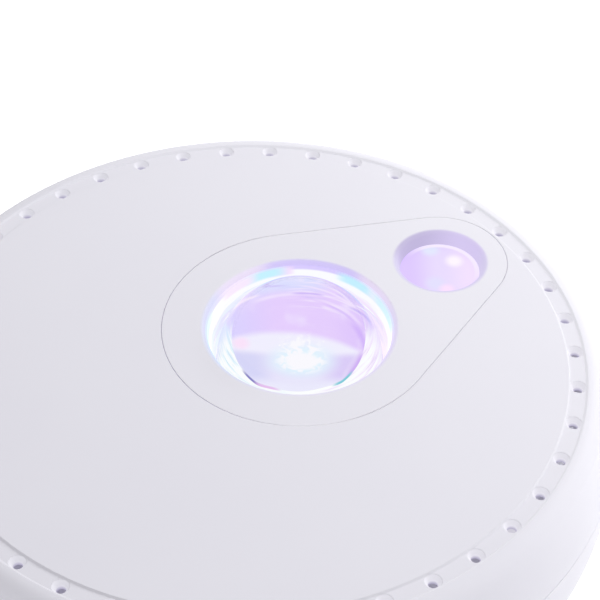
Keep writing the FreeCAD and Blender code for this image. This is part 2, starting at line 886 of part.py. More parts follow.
def make_optics_tower():
    """The barrel of the lens and the chimney of the laser, on one bridge with four hollow legs."""
    barrel = cylinder(barrel_radius, bridge_top, lens_base_height, lens_xy)
    chimney = cylinder(chimney_radius, bridge_top, window_top, laser_xy)
    spans = [band(lens_xy, bridge_hub_radius, laser_xy, bridge_laser_radius, bridge_height, bridge_top)]
    for place in leg_places[:-1]:
        spans.append(band(lens_xy, bridge_hub_radius, place, leg_radius, bridge_height, bridge_top))
    spans.append(band(laser_xy, bridge_laser_radius, leg_places[-1], leg_radius, bridge_height, bridge_top))
    legs = [cylinder(leg_radius, chassis_top, bridge_top, place) for place in leg_places]
    tower = joined([*spans, barrel, chimney, *legs])
    seat = lens_underside - ripple_plate_thickness
    flange_bore = lens_flange_radius + fit_clearance
    plate_bore = ripple_plate_radius + fit_clearance
    cutters = [
        cylinder(ripple_plate_radius - ripple_ledge, bridge_height - cut_overrun, face_height, lens_xy),
        cylinder(plate_bore, seat, face_height, lens_xy),
        cylinder(flange_bore, lens_underside, face_height, lens_xy),
        cylinder(chimney_bore_radius, bridge_height - cut_overrun, face_height, laser_xy),
        cylinder(window_radius + fit_clearance, window_top - window_thickness, face_height, laser_xy),
    ]
    hole = screw_radius + fit_clearance
    cutters += [cylinder(hole, chassis_height, face_height, place) for place in leg_places]
    return tower.cut(cutters)


def make_laser_window():
    """The clear disc at the foot of the funnel."""
    return cylinder(window_radius, window_top - window_thickness, window_top, laser_xy)


def motor_ear_places():
    """The two screw places beside the motor."""
    return [polar(motor_ear_circle, optics_direction + side * 90, motor_xy) for side in (-1, 1)]


def sink_post_places():
    """The two screw places of the heat sink."""
    return [polar(heat_sink_post_circle, direction, lens_xy) for direction in heat_sink_post_directions]


def make_optics_chassis():
    """The plate that carries both wheels on its collars, the motor, the laser and the light source."""
    hub = leg_circle + leg_radius
    levels = (chassis_height, chassis_top)
    laser_plate = grating_tip_radius + grating_margin
    motor_plate = motor_ear_circle + motor_ear_radius + motor_plate_margin
    socket = laser_barrel_radius + laser_socket_wall
    solids = [
        band(lens_xy, hub, laser_xy, laser_plate, *levels),
        band(lens_xy, hub, motor_xy, motor_plate, *levels),
        band(laser_xy, laser_plate, leg_places[-1], leg_radius, *levels),
        cylinder(nebula_collar_radius, chassis_height, chassis_top + collar_height, lens_xy),
        cylinder(grating_collar_radius, chassis_height, chassis_top + collar_height, laser_xy),
        cylinder(socket, chassis_height - laser_socket_length, chassis_top, laser_xy),
    ]
    for place in sink_post_places():
        solids.append(cylinder(heat_sink_post_radius, heat_sink_top, chassis_top, place))
    for place in motor_ear_places():
        solids.append(cylinder(motor_boss_radius, chassis_height, chassis_top + motor_boss_height, place))
    bottom = chassis_height - laser_socket_length - cut_overrun
    motor_tip = chassis_height - motor_ear_thickness + motor_screw_length + loose_clearance
    sink_tip = heat_sink_height + sink_screw_length + loose_clearance
    pilot = small_screw_radius + thread_clearance
    nose = motor_nose_radius + fit_clearance
    cutters = [
        cylinder(nebula_collar_radius - collar_thickness, bottom, face_height, lens_xy),
        cylinder(grating_collar_radius - collar_thickness, chassis_top, face_height, laser_xy),
        cylinder(laser_exit_radius * 2, bottom, face_height, laser_xy),
        cylinder(laser_barrel_radius + fit_clearance, bottom, chassis_height, laser_xy),
        cylinder(nose, chassis_height - cut_overrun, face_height, motor_xy),
    ]
    cutters += [cylinder(pilot, chassis_height - cut_overrun, motor_tip, p) for p in motor_ear_places()]
    cutters += [cylinder(pilot, heat_sink_top - cut_overrun, sink_tip, p) for p in sink_post_places()]
    hole = screw_radius + fit_clearance
    cutters += [cylinder(hole, chassis_height - cut_overrun, face_height, place) for place in leg_places]
    return joined(solids).cut(cutters)


def make_optics_screws():
    """The long screws that go through chassis and legs into the cover."""
    return [big_screw(chassis_height, optics_screw_length, place) for place in leg_places]


def make_collimator_lens():
    """The clear cone that gathers the light, with a hollow over the emitters."""
    neck = nebula_collar_radius - collar_thickness - collimator_neck_inset
    rim = nebula_collar_radius - collar_thickness - fit_clearance
    top = chassis_top - collimator_sink
    hollow_top = led_board_top + collimator_hollow_depth
    points = [
        (collimator_hollow_radius, led_board_top),
        (collimator_base_radius, led_board_top),
        (neck, top - collimator_rim),
        (rim, top - collimator_rim),
        (rim, top),
        (0, top),
        (0, hollow_top),
        (collimator_hollow_radius, hollow_top),
    ]
    return turned_polygon(points, lens_xy)


def make_led_board():
    """The round metal-cored board on the heat sink."""
    return cylinder(led_board_radius, heat_sink_top, led_board_top, lens_xy)


def make_led_emitters():
    """The block of coloured emitters on the round board."""
    leds = []
    for row in range(led_rows):
        for column in range(led_rows):
            x = lens_xy[0] + (column - (led_rows - 1) / 2) * led_pitch
            y = lens_xy[1] + (row - (led_rows - 1) / 2) * led_pitch
            leds.append(block(led_size, led_size, led_board_top, led_board_top + led_thickness, (x, y)))
    return leds


def make_heat_sink():
    """The finned plate under the light source, hung from two posts of the chassis."""
    solids = [cylinder(heat_sink_radius, heat_sink_height, heat_sink_top, lens_xy)]
    for place in sink_post_places():
        levels = (heat_sink_height, heat_sink_top)
        solids.append(band(lens_xy, heat_sink_post_radius * 2, place, heat_sink_post_radius, *levels))
    outline = cylinder(heat_sink_radius, heat_sink_height - fin_depth, heat_sink_height, lens_xy)
    pitch = 2 * heat_sink_radius / fin_count
    for index in range(fin_count):
        centre = (lens_xy[0] + (index - (fin_count - 1) / 2) * pitch, lens_xy[1])
        levels = (heat_sink_height - fin_depth, heat_sink_height)
        solids.append(block(fin_thickness, heat_sink_radius * 2, *levels, centre).common(outline))
    hole = small_screw_radius + fit_clearance
    levels = (heat_sink_height - cut_overrun, heat_sink_top + cut_overrun)
    return joined(solids).cut([cylinder(hole, *levels, place) for place in sink_post_places()])


def make_sink_screws():
    """The screws that hold the heat sink up."""
    return [small_screw(heat_sink_height, sink_screw_length, place) for place in sink_post_places()]


def make_laser_module():
    """The brass laser barrel with the recess round its exit."""
    barrel = cylinder(laser_barrel_radius, driver_board_top, chassis_height, laser_xy)
    recess = cylinder(laser_exit_radius, chassis_height - laser_recess_depth, chassis_top, laser_xy)
    return barrel.cut(recess)


def make_driver_board():
    """The small board that feeds the laser, under its barrel."""
    levels = (driver_board_top - driver_board_thickness, driver_board_top)
    board = block(driver_board_length, driver_board_width, *levels)
    board.translate(vector(driver_board_lead - driver_board_length / 2, 0, 0))
    board.rotate(vector(0, 0, 0), vector(0, 0, 1), laser_direction)
    board.translate(vector(laser_xy[0], laser_xy[1], 0))
    return board


def make_motor():
    """The flat gear motor, with its ears and the nose round its shaft."""
    can_top = chassis_height - motor_ear_thickness
    solids = [
        cylinder(motor_radius, can_top - motor_height, chassis_height, motor_xy),
        cylinder(motor_nose_radius, can_top, chassis_height + motor_nose_height, motor_xy),
    ]
    ears = motor_ear_places()
    ear = motor_ear_radius
    solids.append(band(ears[0], ear, ears[1], ear, can_top, chassis_height))
    nose_top = chassis_height + motor_nose_height
    bore = motor_shaft_radius + running_clearance
    cutters = [cylinder(bore, nose_top - motor_shaft_sink, nose_top + cut_overrun, motor_xy)]
    hole = small_screw_radius + fit_clearance
    cutters += [cylinder(hole, can_top - cut_overrun, chassis_top, place) for place in ears]
    return joined(solids).cut(cutters)


def make_motor_screws():
    """The screws that hold the motor under the chassis."""
    seat = chassis_height - motor_ear_thickness
    return [small_screw(seat, motor_screw_length, place) for place in motor_ear_places()]


# Gears

def involute(angle):
    """The involute function of a pressure angle in radians."""
    return math.tan(angle) - angle


def flank_angle(radius, teeth):
    """Half the angle that one tooth covers at a radius, in degrees."""
    pitch_radius = gear_module * teeth / 2
    base_radius = pitch_radius * math.cos(math.radians(pressure_angle))
    at_pitch = math.pi / (2 * teeth) - tooth_backlash / (4 * pitch_radius)
    lean = math.acos(min(1.0, base_radius / radius))
    return math.degrees(at_pitch + involute(math.radians(pressure_angle)) - involute(lean))


def gear_blank(teeth, phase, bottom, top, centre):
    """A spur gear without a bore, with one tooth pointing in the phase direction."""
    pitch_radius = gear_module * teeth / 2
    tip = pitch_radius + tooth_addendum
    root = pitch_radius - tooth_dedendum
    start = max(root, pitch_radius * math.cos(math.radians(pressure_angle)))
    middle = (start + tip) / 2
    radii = (root, start, middle, tip)
    step = 360 / teeth

    def at(radius, direction):
        """A point on the gear's outline."""
        return vector(*polar(radius, direction, centre), bottom)

    edges = []
    for tooth in range(teeth):
        heading = phase + step * tooth
        sides = []
        for side in (-1, 1):
            sides.append([at(radius, heading + side * flank_angle(radius, teeth)) for radius in radii])
        for points in (sides[0], sides[1]):
            if start > root:
                edges.append(Part.makeLine(points[0], points[1]))
            edges.append(Part.Arc(*points[1:]).toShape())
        edges.append(Part.makeLine(sides[0][3], sides[1][3]))
        next_root = at(root, heading + step - flank_angle(root, teeth))
        edges.append(Part.makeLine(sides[1][0], next_root))
    wire = Part.Wire(Part.__sortEdges__(edges))
    return Part.Face(wire).extrude(vector(0, 0, top - bottom))


def meshing_phase(phase, teeth, direction, mate_teeth):
    """The phase of a gear that meshes with another one lying in a direction from it."""
    share = ((direction - phase) * teeth / 360) % 1
    return direction + 180 - (0.5 - share) * 360 / mate_teeth


nebula_phase = optics_direction + 180 / nebula_teeth
grating_phase = meshing_phase(nebula_phase, nebula_teeth, optics_direction, grating_teeth)
pinion_phase = meshing_phase(nebula_phase, nebula_teeth, optics_direction + 180, pinion_teeth)


def make_wheel(teeth, phase, collar_radius, root_radius, disc_thickness, centre):
    """A toothed ring that turns on a collar, with a rim above that centres its disc."""
    gear = gear_blank(teeth, phase, gear_bottom, gear_top, centre)
    rim = cylinder(root_radius - loose_clearance, gear_bottom, gear_top + disc_thickness, centre)
    seat = root_radius - loose_clearance - disc_rim_wall
    cutters = [
        cylinder(collar_radius + running_clearance, gear_bottom - cut_overrun, face_height, centre),
        cylinder(seat, gear_top, face_height, centre),
    ]
    return gear.fuse(rim).cut(cutters)


def make_nebula_wheel():
    """The large toothed ring under the lens."""
    radii = (nebula_collar_radius, nebula_root_radius)
    return make_wheel(nebula_teeth, nebula_phase, *radii, nebula_disc_thickness, lens_xy)


def make_grating_wheel():
    """The small toothed ring over the laser."""
    radii = (grating_collar_radius, grating_root_radius)
    return make_wheel(grating_teeth, grating_phase, *radii, grating_disc_thickness, laser_xy)


def wheel_disc(root_radius, thickness, centre):
    """The disc that lies in the rim of a wheel."""
    radius = root_radius - loose_clearance - disc_rim_wall - fit_clearance
    return cylinder(radius, gear_top, gear_top + thickness, centre)


def make_motor_pinion():
    """The small gear on the motor's shaft."""
    gear = gear_blank(pinion_teeth, pinion_phase, gear_bottom, gear_top, motor_xy)
    shaft_bottom = chassis_height + motor_nose_height - motor_shaft_sink + loose_clearance
    return gear.fuse(cylinder(motor_shaft_radius, shaft_bottom, gear_top, motor_xy)).removeSplitter()


# Electronics

def make_main_board():
    """The main circuit board, with one edge that follows the bowl."""
    levels = (board_bottom, board_top)
    depth = board_radius - board_front
    centre = ((board_left + board_right) / 2, board_front + depth / 2)
    board = block(board_right - board_left, depth, *levels, centre).common(cylinder(board_radius, *levels))
    hole = small_screw_radius + fit_clearance
    reach = (board_bottom - cut_overrun, board_top + cut_overrun)
    return board.cut([cylinder(hole, *reach, place) for place in board_post_places()])


def make_board_screws():
    """The screws that hold the main board on its posts."""
    return [small_screw(board_top, board_screw_length, place, -1) for place in board_post_places()]


def make_board_chips():
    """The two flat chips on the main board and the small one on the laser's board."""
    levels = (board_top, board_top + chip_thickness)
    large = block(chip_size, chip_size, *levels, rear_place(chip_inset, chip_direction))
    place = front_place(small_chip_share, small_chip_inset)
    small = block(small_chip_width, small_chip_depth, *levels, place)
    driver = block(driver_chip_size, driver_chip_size, driver_board_top, driver_board_top + chip_thickness)
    driver.translate(vector(-driver_chip_reach, 0, 0))
    driver.rotate(vector(0, 0, 0), vector(0, 0, 1), laser_direction)
    driver.translate(vector(*laser_xy, 0))
    return [large, small, driver]


def make_capacitors():
    """The round capacitors on the main board."""
    places = [rear_place(capacitor_inset, direction) for direction in capacitor_directions]
    return [cylinder(capacitor_radius, board_top, board_top + capacitor_height, place) for place in places]


def connector_places():
    """The places of the lead connectors along the front of the main board."""
    return [front_place(share, connector_inset) for share in connector_share]


def make_connectors():
    """The open lead connectors along the front of the main board."""
    top = board_top + connector_height
    connectors = []
    for place in connector_places():
        cavity = block(*connector_cavity, board_top + connector_floor, top + cut_overrun, place)
        connectors.append(block(connector_length, connector_depth, board_top, top, place).cut(cavity))
    return connectors


# Leads

def raised(place, height):
    """A place seen from above, at a height."""
    return vector(*place, height)


def make_lead(points):
    """A round lead along straight runs that arcs join."""
    runs = [after - before for before, after in zip(points, points[1:])]
    spare = [run.Length * inner_run_share for run in runs]
    spare[0] = runs[0].Length * end_run_share
    spare[-1] = runs[-1].Length * end_run_share
    start = points[0]
    edges = []
    for index, corner in enumerate(points[1:-1]):
        arrive, leave = [vector(*run).normalize() for run in runs[index:index + 2]]
        half_turn = arrive.getAngle(leave) / 2
        reach = min(lead_bend * math.tan(half_turn), spare[index], spare[index + 1])
        radius = reach / math.tan(half_turn)
        inward = (leave - arrive).normalize()
        middle = corner + inward * (radius / math.cos(half_turn) - radius)
        edges.append(Part.makeLine(start, corner - arrive * reach))
        start = corner + leave * reach
        edges.append(Part.Arc(corner - arrive * reach, middle, start).toShape())
    edges.append(Part.makeLine(start, points[-1]))
    section = Part.Wire(Part.makeCircle(lead_radius, points[0], runs[0]))
    return Part.Wire(edges).makePipeShell([section], True, False)


def plugged_lead(place, points):
    """A lead whose plug sits in a connector, and which rises from it before it goes on."""
    plug = block(*plug_size, board_top + connector_floor, plug_top, place)
    return plug.fuse(make_lead([raised(place, plug_top), raised(place, lead_level), *points]))


def make_motor_lead():
    """The lead from the main board to the side of the motor."""
    height = chassis_height - motor_ear_thickness - motor_height / 2
    way = polar(motor_radius + motor_lead_run, motor_lead_direction, motor_xy)
    end = polar(motor_radius, motor_lead_direction, motor_xy)
    return plugged_lead(connector_places()[0], [raised(way, height), raised(end, height)])


def make_led_lead():
    """The lead that comes down beside the collimator on the round board."""
    circle = led_board_radius - led_lead_inset
    way = polar(circle + led_lead_run, led_lead_direction, lens_xy)
    end = polar(circle, led_lead_direction, lens_xy)
    points = [raised(way, lead_level), raised(end, led_board_top + led_lead_drop), raised(end, led_board_top)]
    return plugged_lead(connector_places()[1], points)


def make_laser_lead():
    """The lead that goes round the heat sink's post to the laser's board."""
    way = polar(laser_lead_circle, laser_lead_direction, lens_xy)
    end = polar(-laser_lead_reach, laser_direction, laser_xy)
    points = [raised(way, lead_level), raised(end, lead_level), raised(end, driver_board_top)]
    return plugged_lead(connector_places()[2], points)


def make_wall_lead(frame, depth, end):
    """A lead from behind a piece in the bowl's wall down to the main board."""
    start = frame.multVec(vector(0, 0, -depth))
    way = frame.multVec(vector(0, 0, -depth - wall_lead_run))
    return make_lead([start, way, raised(end, board_top + wall_lead_drop), raised(end, board_top)])


def make_socket_lead():
    """The lead from the power socket to the main board."""
    end = rear_place(socket_lead_inset, socket_lead_direction)
    return make_wall_lead(inlet_frame, inlet_wall + inlet_body_length, end)


def make_button_lead():
    """The lead from the button board to the main board."""
    end = rear_place(button_lead_inset, button_lead_direction)
    return make_wall_lead(control_frame, button_board_top + button_board_thickness, end)


# Controls and power socket

def make_control_plate():
    """The racetrack plate round the buttons, with two pegged posts for the button board."""
    plate = racetrack(control_half_width - fit_clearance, -control_plate_thickness, 0)
    posts = []
    for side in (-1, 1):
        centre = (side * button_pitch / 2, 0)
        posts.append(cylinder(post_radius, -button_board_top, -control_plate_thickness, centre))
        peg_bottom = -button_board_top - button_board_thickness
        posts.append(cylinder(post_radius - peg_step, peg_bottom, -button_board_top, centre))
    levels = (-control_plate_thickness - cut_overrun, cut_overrun)
    holes = []
    for index in (-1, 0, 1):
        holes.append(cylinder(button_radius + button_clearance, *levels, (index * button_pitch, 0)))
    return on_wall(joined([plate.cut(holes), *posts]), control_frame)


def make_button(index):
    """A push button with the flange that keeps it in and the stem that works its switch."""
    top = button_proud
    flange_top = -control_plate_thickness - button_rest_gap
    radius = button_radius + button_flange
    edge = button_radius - button_edge_round
    edges = [
        line((0, -button_back - stem_length()), (stem_radius, -button_back - stem_length())),
        line((stem_radius, -button_back - stem_length()), (stem_radius, -button_back)),
        line((stem_radius, -button_back), (radius, -button_back)),
        line((radius, -button_back), (radius, flange_top)),
        line((radius, flange_top), (button_radius, flange_top)),
        line((button_radius, flange_top), (button_radius, top - button_edge_round)),
        *rounding((button_radius, top - button_edge_round), (button_radius, top), (edge, top)),
        line((edge, top), (0, top)),
        line((0, top), (0, -button_back - stem_length())),
    ]
    return on_wall(turned(edges, (index * button_pitch, 0)), control_frame)


def stem_length():
    """How far a button's stem reaches below its flange."""
    return switch_top - button_back + stem_entry


def make_button_board():
    """The narrow board behind the buttons."""
    levels = (-button_board_top - button_board_thickness, -button_board_top)
    board = racetrack(control_half_width - control_ledge - loose_clearance, *levels)
    hole = post_radius - peg_step + fit_clearance
    reach = (levels[0] - cut_overrun, levels[1] + cut_overrun)
    pegs = [cylinder(hole, *reach, (side * button_pitch / 2, 0)) for side in (-1, 1)]
    return on_wall(board.cut(pegs), control_frame)


def make_tact_switches():
    """The three switches, each with the well that its button's stem goes into."""
    well_depth = stem_entry + button_travel + loose_clearance
    switches = []
    for index in (-1, 0, 1):
        centre = (index * button_pitch, 0)
        body = block(switch_size, switch_size, -button_board_top, -switch_top, centre)
        well = cylinder(stem_radius + switch_well_margin, -switch_top - well_depth, 0, centre)
        switches.append(on_wall(body.cut(well), control_frame))
    return switches


def make_power_socket():
    """The round-nosed socket whose box sits behind the wall."""
    nose_top = inlet_nut_thickness + inlet_nose_proud
    back = -inlet_wall - inlet_body_length
    nose = cylinder(inlet_nose_radius, -inlet_wall, nose_top)
    body = block(inlet_body_size, inlet_body_size, back, -inlet_wall)
    bore = cylinder(inlet_bore_radius, nose_top - inlet_bore_depth, nose_top + cut_overrun)
    return on_wall(nose.fuse(body).cut(bore), inlet_frame)


def make_socket_nut():
    """The round nut that holds the socket from outside."""
    nut = tube(inlet_nut_radius, inlet_nose_radius + thread_clearance, 0, inlet_nut_thickness)
    return on_wall(nut, inlet_frame)


def make_socket_pin():
    """The contact pin in the middle of the socket."""
    nose_top = inlet_nut_thickness + inlet_nose_proud
    pin = cylinder(inlet_pin_radius, nose_top - inlet_bore_depth, nose_top - inlet_pin_step)
    return on_wall(pin, inlet_frame)


# Hinge and foot

def make_hinge_pins():
    """The two steel pins that the head turns on."""
    half = hinge_arm_width / 2 + hinge_side_gap + hinge_block_wall - hinge_pin_inset
    pins = []
    for side in (-1, 1):
        reach = (side * hinge_arm_x - half, side * hinge_arm_x + half)
        pins.append(crosswise(cylinder(hinge_pin_radius, *reach, hinge_axis)))
    return pins


def make_hinge_washers():
    """The friction washers on both sides of each arm."""
    washers = []
    for side in (-1, 1):
        for face in (-1, 1):
            middle = side * hinge_arm_x + face * (hinge_arm_width / 2 + hinge_side_gap / 2)
            reach = (middle - hinge_washer_thickness / 2, middle + hinge_washer_thickness / 2)
            bore = hinge_pin_radius + thread_clearance
            washers.append(crosswise(tube(hinge_washer_radius, bore, *reach, hinge_axis)))
    return washers


def hinge_arm(side):
    """An arm of the foot that rises to the hinge axis."""
    reach = (side * hinge_arm_x - hinge_arm_width / 2, side * hinge_arm_x + hinge_arm_width / 2)
    return crosswise(band(hinge_axis, hinge_arm_radius, hinge_root, hinge_root_radius, *reach))


def foot_profile(inset):
    """The filled foot under its roof, shrunk by an inset."""
    top = foot_top_height - inset
    side = foot_radius - inset
    edge = foot_radius - foot_edge_round
    shoulder = foot_top_height - foot_edge_round
    edges = [
        line((0, foot_skirt_height), (side, foot_skirt_height)),
        line((side, foot_skirt_height), (side, shoulder)),
        *rounding((side, shoulder), (side, foot_top_height), (edge, foot_top_height)),
        line((edge, foot_top_height), (0, foot_top_height)),
        line((0, foot_top_height), (0, foot_skirt_height)),
    ]
    return turned(edges).common(cylinder(side, 0, top))


def foot_screw_places():
    """The places of the screws under the foot."""
    return [polar(foot_screw_circle, direction) for direction in foot_screw_directions]


def make_foot_shell():
    """The shallow drum of the foot, with its two hinge arms, hub and screw bosses."""
    shell = foot_profile(0).cut(foot_profile(wall))
    bosses = [cylinder(foot_boss_radius, plate_top, foot_roof + wall / 2, p) for p in foot_screw_places()]
    hub = cylinder(hub_radius, plate_top, foot_roof + wall / 2)
    shell = joined([shell, hub, *bosses, hinge_arm(-1), hinge_arm(1)])
    plate_space = cylinder(foot_radius - wall, 0, plate_top)
    pilot = small_screw_radius + thread_clearance
    tip = foot_screw_seat() + foot_screw_length + loose_clearance
    cutters = [cylinder(pilot, 0, tip, place) for place in foot_screw_places()]
    for side in (-1, 1):
        half = hinge_arm_width / 2 + cut_overrun / 2
        reach = (side * hinge_arm_x - half, side * hinge_arm_x + half)
        cutters.append(crosswise(cylinder(hinge_pin_radius + running_clearance, *reach, hinge_axis)))
    for direction in bumper_directions:
        place = polar(bumper_circle, direction)
        levels = (foot_top_height - bumper_sink, foot_top_height + cut_overrun)
        cutters.append(cylinder(bumper_radius + fit_clearance, *levels, place))
    return shell.cut([plate_space, *cutters])


def foot_screw_seat():
    """The height of the seats of the screws in the foot's plate."""
    return plate_underside + small_screw_head_height + loose_clearance


def make_foot_plate():
    """The plate that closes the foot, with seats for its pads and screws."""
    plate = cylinder(foot_radius - wall - fit_clearance, plate_underside, plate_top)
    cutters = []
    for place in foot_screw_places():
        head_hole = small_screw_head_radius + loose_clearance
        cutters.append(cylinder(head_hole, 0, foot_screw_seat(), place))
        cutters.append(cylinder(small_screw_radius + fit_clearance, 0, foot_top_height, place))
    for direction in pad_directions:
        cutters.append(cylinder(pad_radius + fit_clearance, 0, pad_thickness, polar(pad_circle, direction)))
    return plate.cut(cutters)


def make_foot_screws():
    """The screws that hold the foot's plate."""
    return [small_screw(foot_screw_seat(), foot_screw_length, place) for place in foot_screw_places()]


def make_ballast():
    """The steel disc that keeps the tilted head from tipping over."""
    return tube(ballast_radius, hub_radius + loose_clearance, plate_top, ballast_top)


def make_rubber_pads():
    """The pads that the foot stands on."""
    return [cylinder(pad_radius, 0, pad_thickness, polar(pad_circle, d)) for d in pad_directions]


def make_rest_bumpers():
    """The soft stops on the foot that the closed head comes to rest over."""
    levels = (foot_top_height - bumper_sink, bowl_bottom_height - bumper_gap)
    return [cylinder(bumper_radius, *levels, polar(bumper_circle, d)) for d in bumper_directions]


sub_parts = {
    "top_cover": make_top_cover(),
    "lens_panel": make_lens_panel(),
    "lens_collar": make_lens_collar(),
    "projection_lens": make_projection_lens(),
    "ripple_plate": make_ripple_plate(),
    "optics_tower": make_optics_tower(),
    "laser_window": make_laser_window(),
    "optics_chassis": make_optics_chassis(),
    "optics_screws": make_optics_screws(),
    "collimator_lens": make_collimator_lens(),
    "led_board": make_led_board(),
    "led_emitters": make_led_emitters(),
    "heat_sink": make_heat_sink(),
    "heat_sink_screws": make_sink_screws(),
    "laser_module": make_laser_module(),
    "laser_driver_board": make_driver_board(),
    "motor_body": make_motor(),
    "motor_screws": make_motor_screws(),
    "nebula_wheel": make_nebula_wheel(),
    "nebula_disc": wheel_disc(nebula_root_radius, nebula_disc_thickness, lens_xy),
    "grating_wheel": make_grating_wheel(),
    "grating_disc": wheel_disc(grating_root_radius, grating_disc_thickness, laser_xy),
    "motor_pinion": make_motor_pinion(),
    "main_board": make_main_board(),
    "board_screws": make_board_screws(),
    "board_chips": make_board_chips(),
    "board_capacitors": make_capacitors(),
    "board_connectors": make_connectors(),
    "motor_lead": make_motor_lead(),
    "led_lead": make_led_lead(),
    "laser_lead": make_laser_lead(),
    "socket_lead": make_socket_lead(),
    "button_lead": make_button_lead(),
    "lower_shell": make_lower_shell(),
    "shell_screws": make_shell_screws(),
    "control_plate": make_control_plate(),
    "power_button": make_button(-1),
    "laser_button": make_button(0),
    "motion_button": make_button(1),
    "button_board": make_button_board(),
    "tact_switches": make_tact_switches(),
    "power_socket": make_power_socket(),
    "socket_nut": make_socket_nut(),
    "socket_pin": make_socket_pin(),
    "hinge_pins": make_hinge_pins(),
    "hinge_washers": make_hinge_washers(),
    "foot_shell": make_foot_shell(),
    "foot_plate": make_foot_plate(),
    "ballast": make_ballast(),
    "rubber_pads": make_rubber_pads(),
    "foot_screws": make_foot_screws(),
    "rest_bumpers": make_rest_bumpers(),
}

os.makedirs("parts", exist_ok=True)
for name, shape in sub_parts.items():
    if isinstance(shape, list):
        shape = Part.makeCompound(shape)
    shape.exportStep("parts/" + name + ".step")
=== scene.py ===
"""Looks of the round tabletop star projector: the finish of each node, the rippled optics and the studio."""

import json
import math

import bpy
import numpy as np
from mathutils import Matrix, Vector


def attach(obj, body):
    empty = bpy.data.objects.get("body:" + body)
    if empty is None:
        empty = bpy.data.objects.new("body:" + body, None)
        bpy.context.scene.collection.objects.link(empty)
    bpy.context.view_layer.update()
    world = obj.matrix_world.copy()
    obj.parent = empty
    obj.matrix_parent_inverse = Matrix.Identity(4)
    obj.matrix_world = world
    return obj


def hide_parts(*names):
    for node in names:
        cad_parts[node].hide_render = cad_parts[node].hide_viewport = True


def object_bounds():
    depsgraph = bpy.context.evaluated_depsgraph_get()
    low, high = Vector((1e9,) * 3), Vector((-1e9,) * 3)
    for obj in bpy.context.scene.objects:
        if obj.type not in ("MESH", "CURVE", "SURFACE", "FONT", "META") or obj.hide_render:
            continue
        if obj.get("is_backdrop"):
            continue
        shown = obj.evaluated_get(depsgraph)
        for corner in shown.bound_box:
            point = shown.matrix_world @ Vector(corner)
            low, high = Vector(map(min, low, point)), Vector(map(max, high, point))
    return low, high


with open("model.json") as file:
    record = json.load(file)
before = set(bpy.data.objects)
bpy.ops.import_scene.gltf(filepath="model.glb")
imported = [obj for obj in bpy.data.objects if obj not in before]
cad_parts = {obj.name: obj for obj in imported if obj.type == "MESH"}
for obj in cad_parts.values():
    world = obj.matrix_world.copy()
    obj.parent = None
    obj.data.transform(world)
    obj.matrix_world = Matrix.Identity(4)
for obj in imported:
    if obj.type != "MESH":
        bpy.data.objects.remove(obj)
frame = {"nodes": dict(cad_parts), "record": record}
cad_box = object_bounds()

for plain in list(bpy.data.materials):
    bpy.data.materials.remove(plain)

MM = 0.001

# Places and sizes in the object's frame, in millimetres
LENS = (10.8165, 9.0655)
LASER = (41.8012, 29.6517)
FACE_HEIGHT = 66.0
DOME_BASE = 55.9
DOME_RADIUS = 17.9
LENS_UNDERSIDE = 53.9
FLANGE_RADIUS = 20.2
WINDOW_HEIGHT = 63.0
RIPPLE_RADIUS = 18.9
RIPPLE_BOTTOM = 52.3
RIPPLE_PITCH = 1.0
BODY_RADIUS = 78.0
FACE_EDGE_RADIUS = 70.6
SHOULDER_DROP = 14.0
CHANNEL_WALLS = (66.72, 70.28)

# Camera of the photograph, solved from the ring of vents: focal length and sensor width in millimetres,
# angles in degrees and place in metres
PHOTO_FOCAL = 105.59
PHOTO_SENSOR = 36.0
PHOTO_ELEVATION = 43.10
PHOTO_ROLL = 0.24
PHOTO_PLACE = (0.01085, -0.25983, 0.32476)


def linear(hex_colour, alpha=1.0):
    """An sRGB hex colour as linear RGBA."""
    values = [int(hex_colour[i:i + 2], 16) / 255 for i in (1, 3, 5)]
    return [v / 12.92 if v <= 0.04045 else ((v + 0.055) / 1.055) ** 2.4 for v in values] + [alpha]


def add(tree, kind, settings=None, links=None):
    """Adds a shader node, sets its attributes and sockets, and links sockets to their sources.

    A plain value in the place of a source is set on its socket."""
    node = tree.nodes.new("ShaderNode" + kind)
    for name, value in (settings or {}).items():
        if isinstance(name, int) or name in node.inputs:
            node.inputs[name].default_value = value
        else:
            setattr(node, name, value)
    for name, source in (links or {}).items():
        if isinstance(source, bpy.types.NodeSocket):
            tree.links.new(source, node.inputs[name])
        else:
            node.inputs[name].default_value = source
    return node


def new_material(name):
    """An empty node material and its tree, with the object's own coordinates."""
    material = bpy.data.materials.new(name)
    material.use_nodes = True
    tree = material.node_tree
    tree.nodes.clear()
    return material, tree, add(tree, "TexCoord").outputs["Object"]


def surface(material, tree, shader):
    """Puts a shader on the material's surface."""
    add(tree, "OutputMaterial", links={"Surface": shader})
    return material


def product(tree, *factors):
    """The product of factors, each a value, a plain number or a fade.

    A fade is (value, start, end): 0 until the start, 1 from the end on and smooth between."""
    result = None
    for factor in factors:
        if isinstance(factor, tuple):
            value, start, end = factor
            settings = {"interpolation_type": "SMOOTHSTEP", "From Min": start, "From Max": end}
            factor = add(tree, "MapRange", settings, {"Value": value}).outputs[0]
        if result is not None:
            factor = add(tree, "Math", {"operation": "MULTIPLY"}, {0: result, 1: factor}).outputs[0]
        result = factor
    return result


def apart(tree, value, middle):
    """The distance between a value and a middle, which is a value or a plain number."""
    away = add(tree, "Math", {"operation": "SUBTRACT"}, {0: value, 1: middle}).outputs[0]
    return add(tree, "Math", {"operation": "ABSOLUTE"}, {0: away}).outputs[0]


def about(tree, place, centre):
    """A place in millimetres from a centre, and its x, y and z."""
    scaled = add(tree, "Mapping", {"Scale": (1 / MM, 1 / MM, 1 / MM)}, {"Vector": place}).outputs["Vector"]
    local = add(tree, "VectorMath", {"operation": "SUBTRACT", 1: centre}, {0: scaled}).outputs["Vector"]
    return local, add(tree, "SeparateXYZ", links={"Vector": local}).outputs


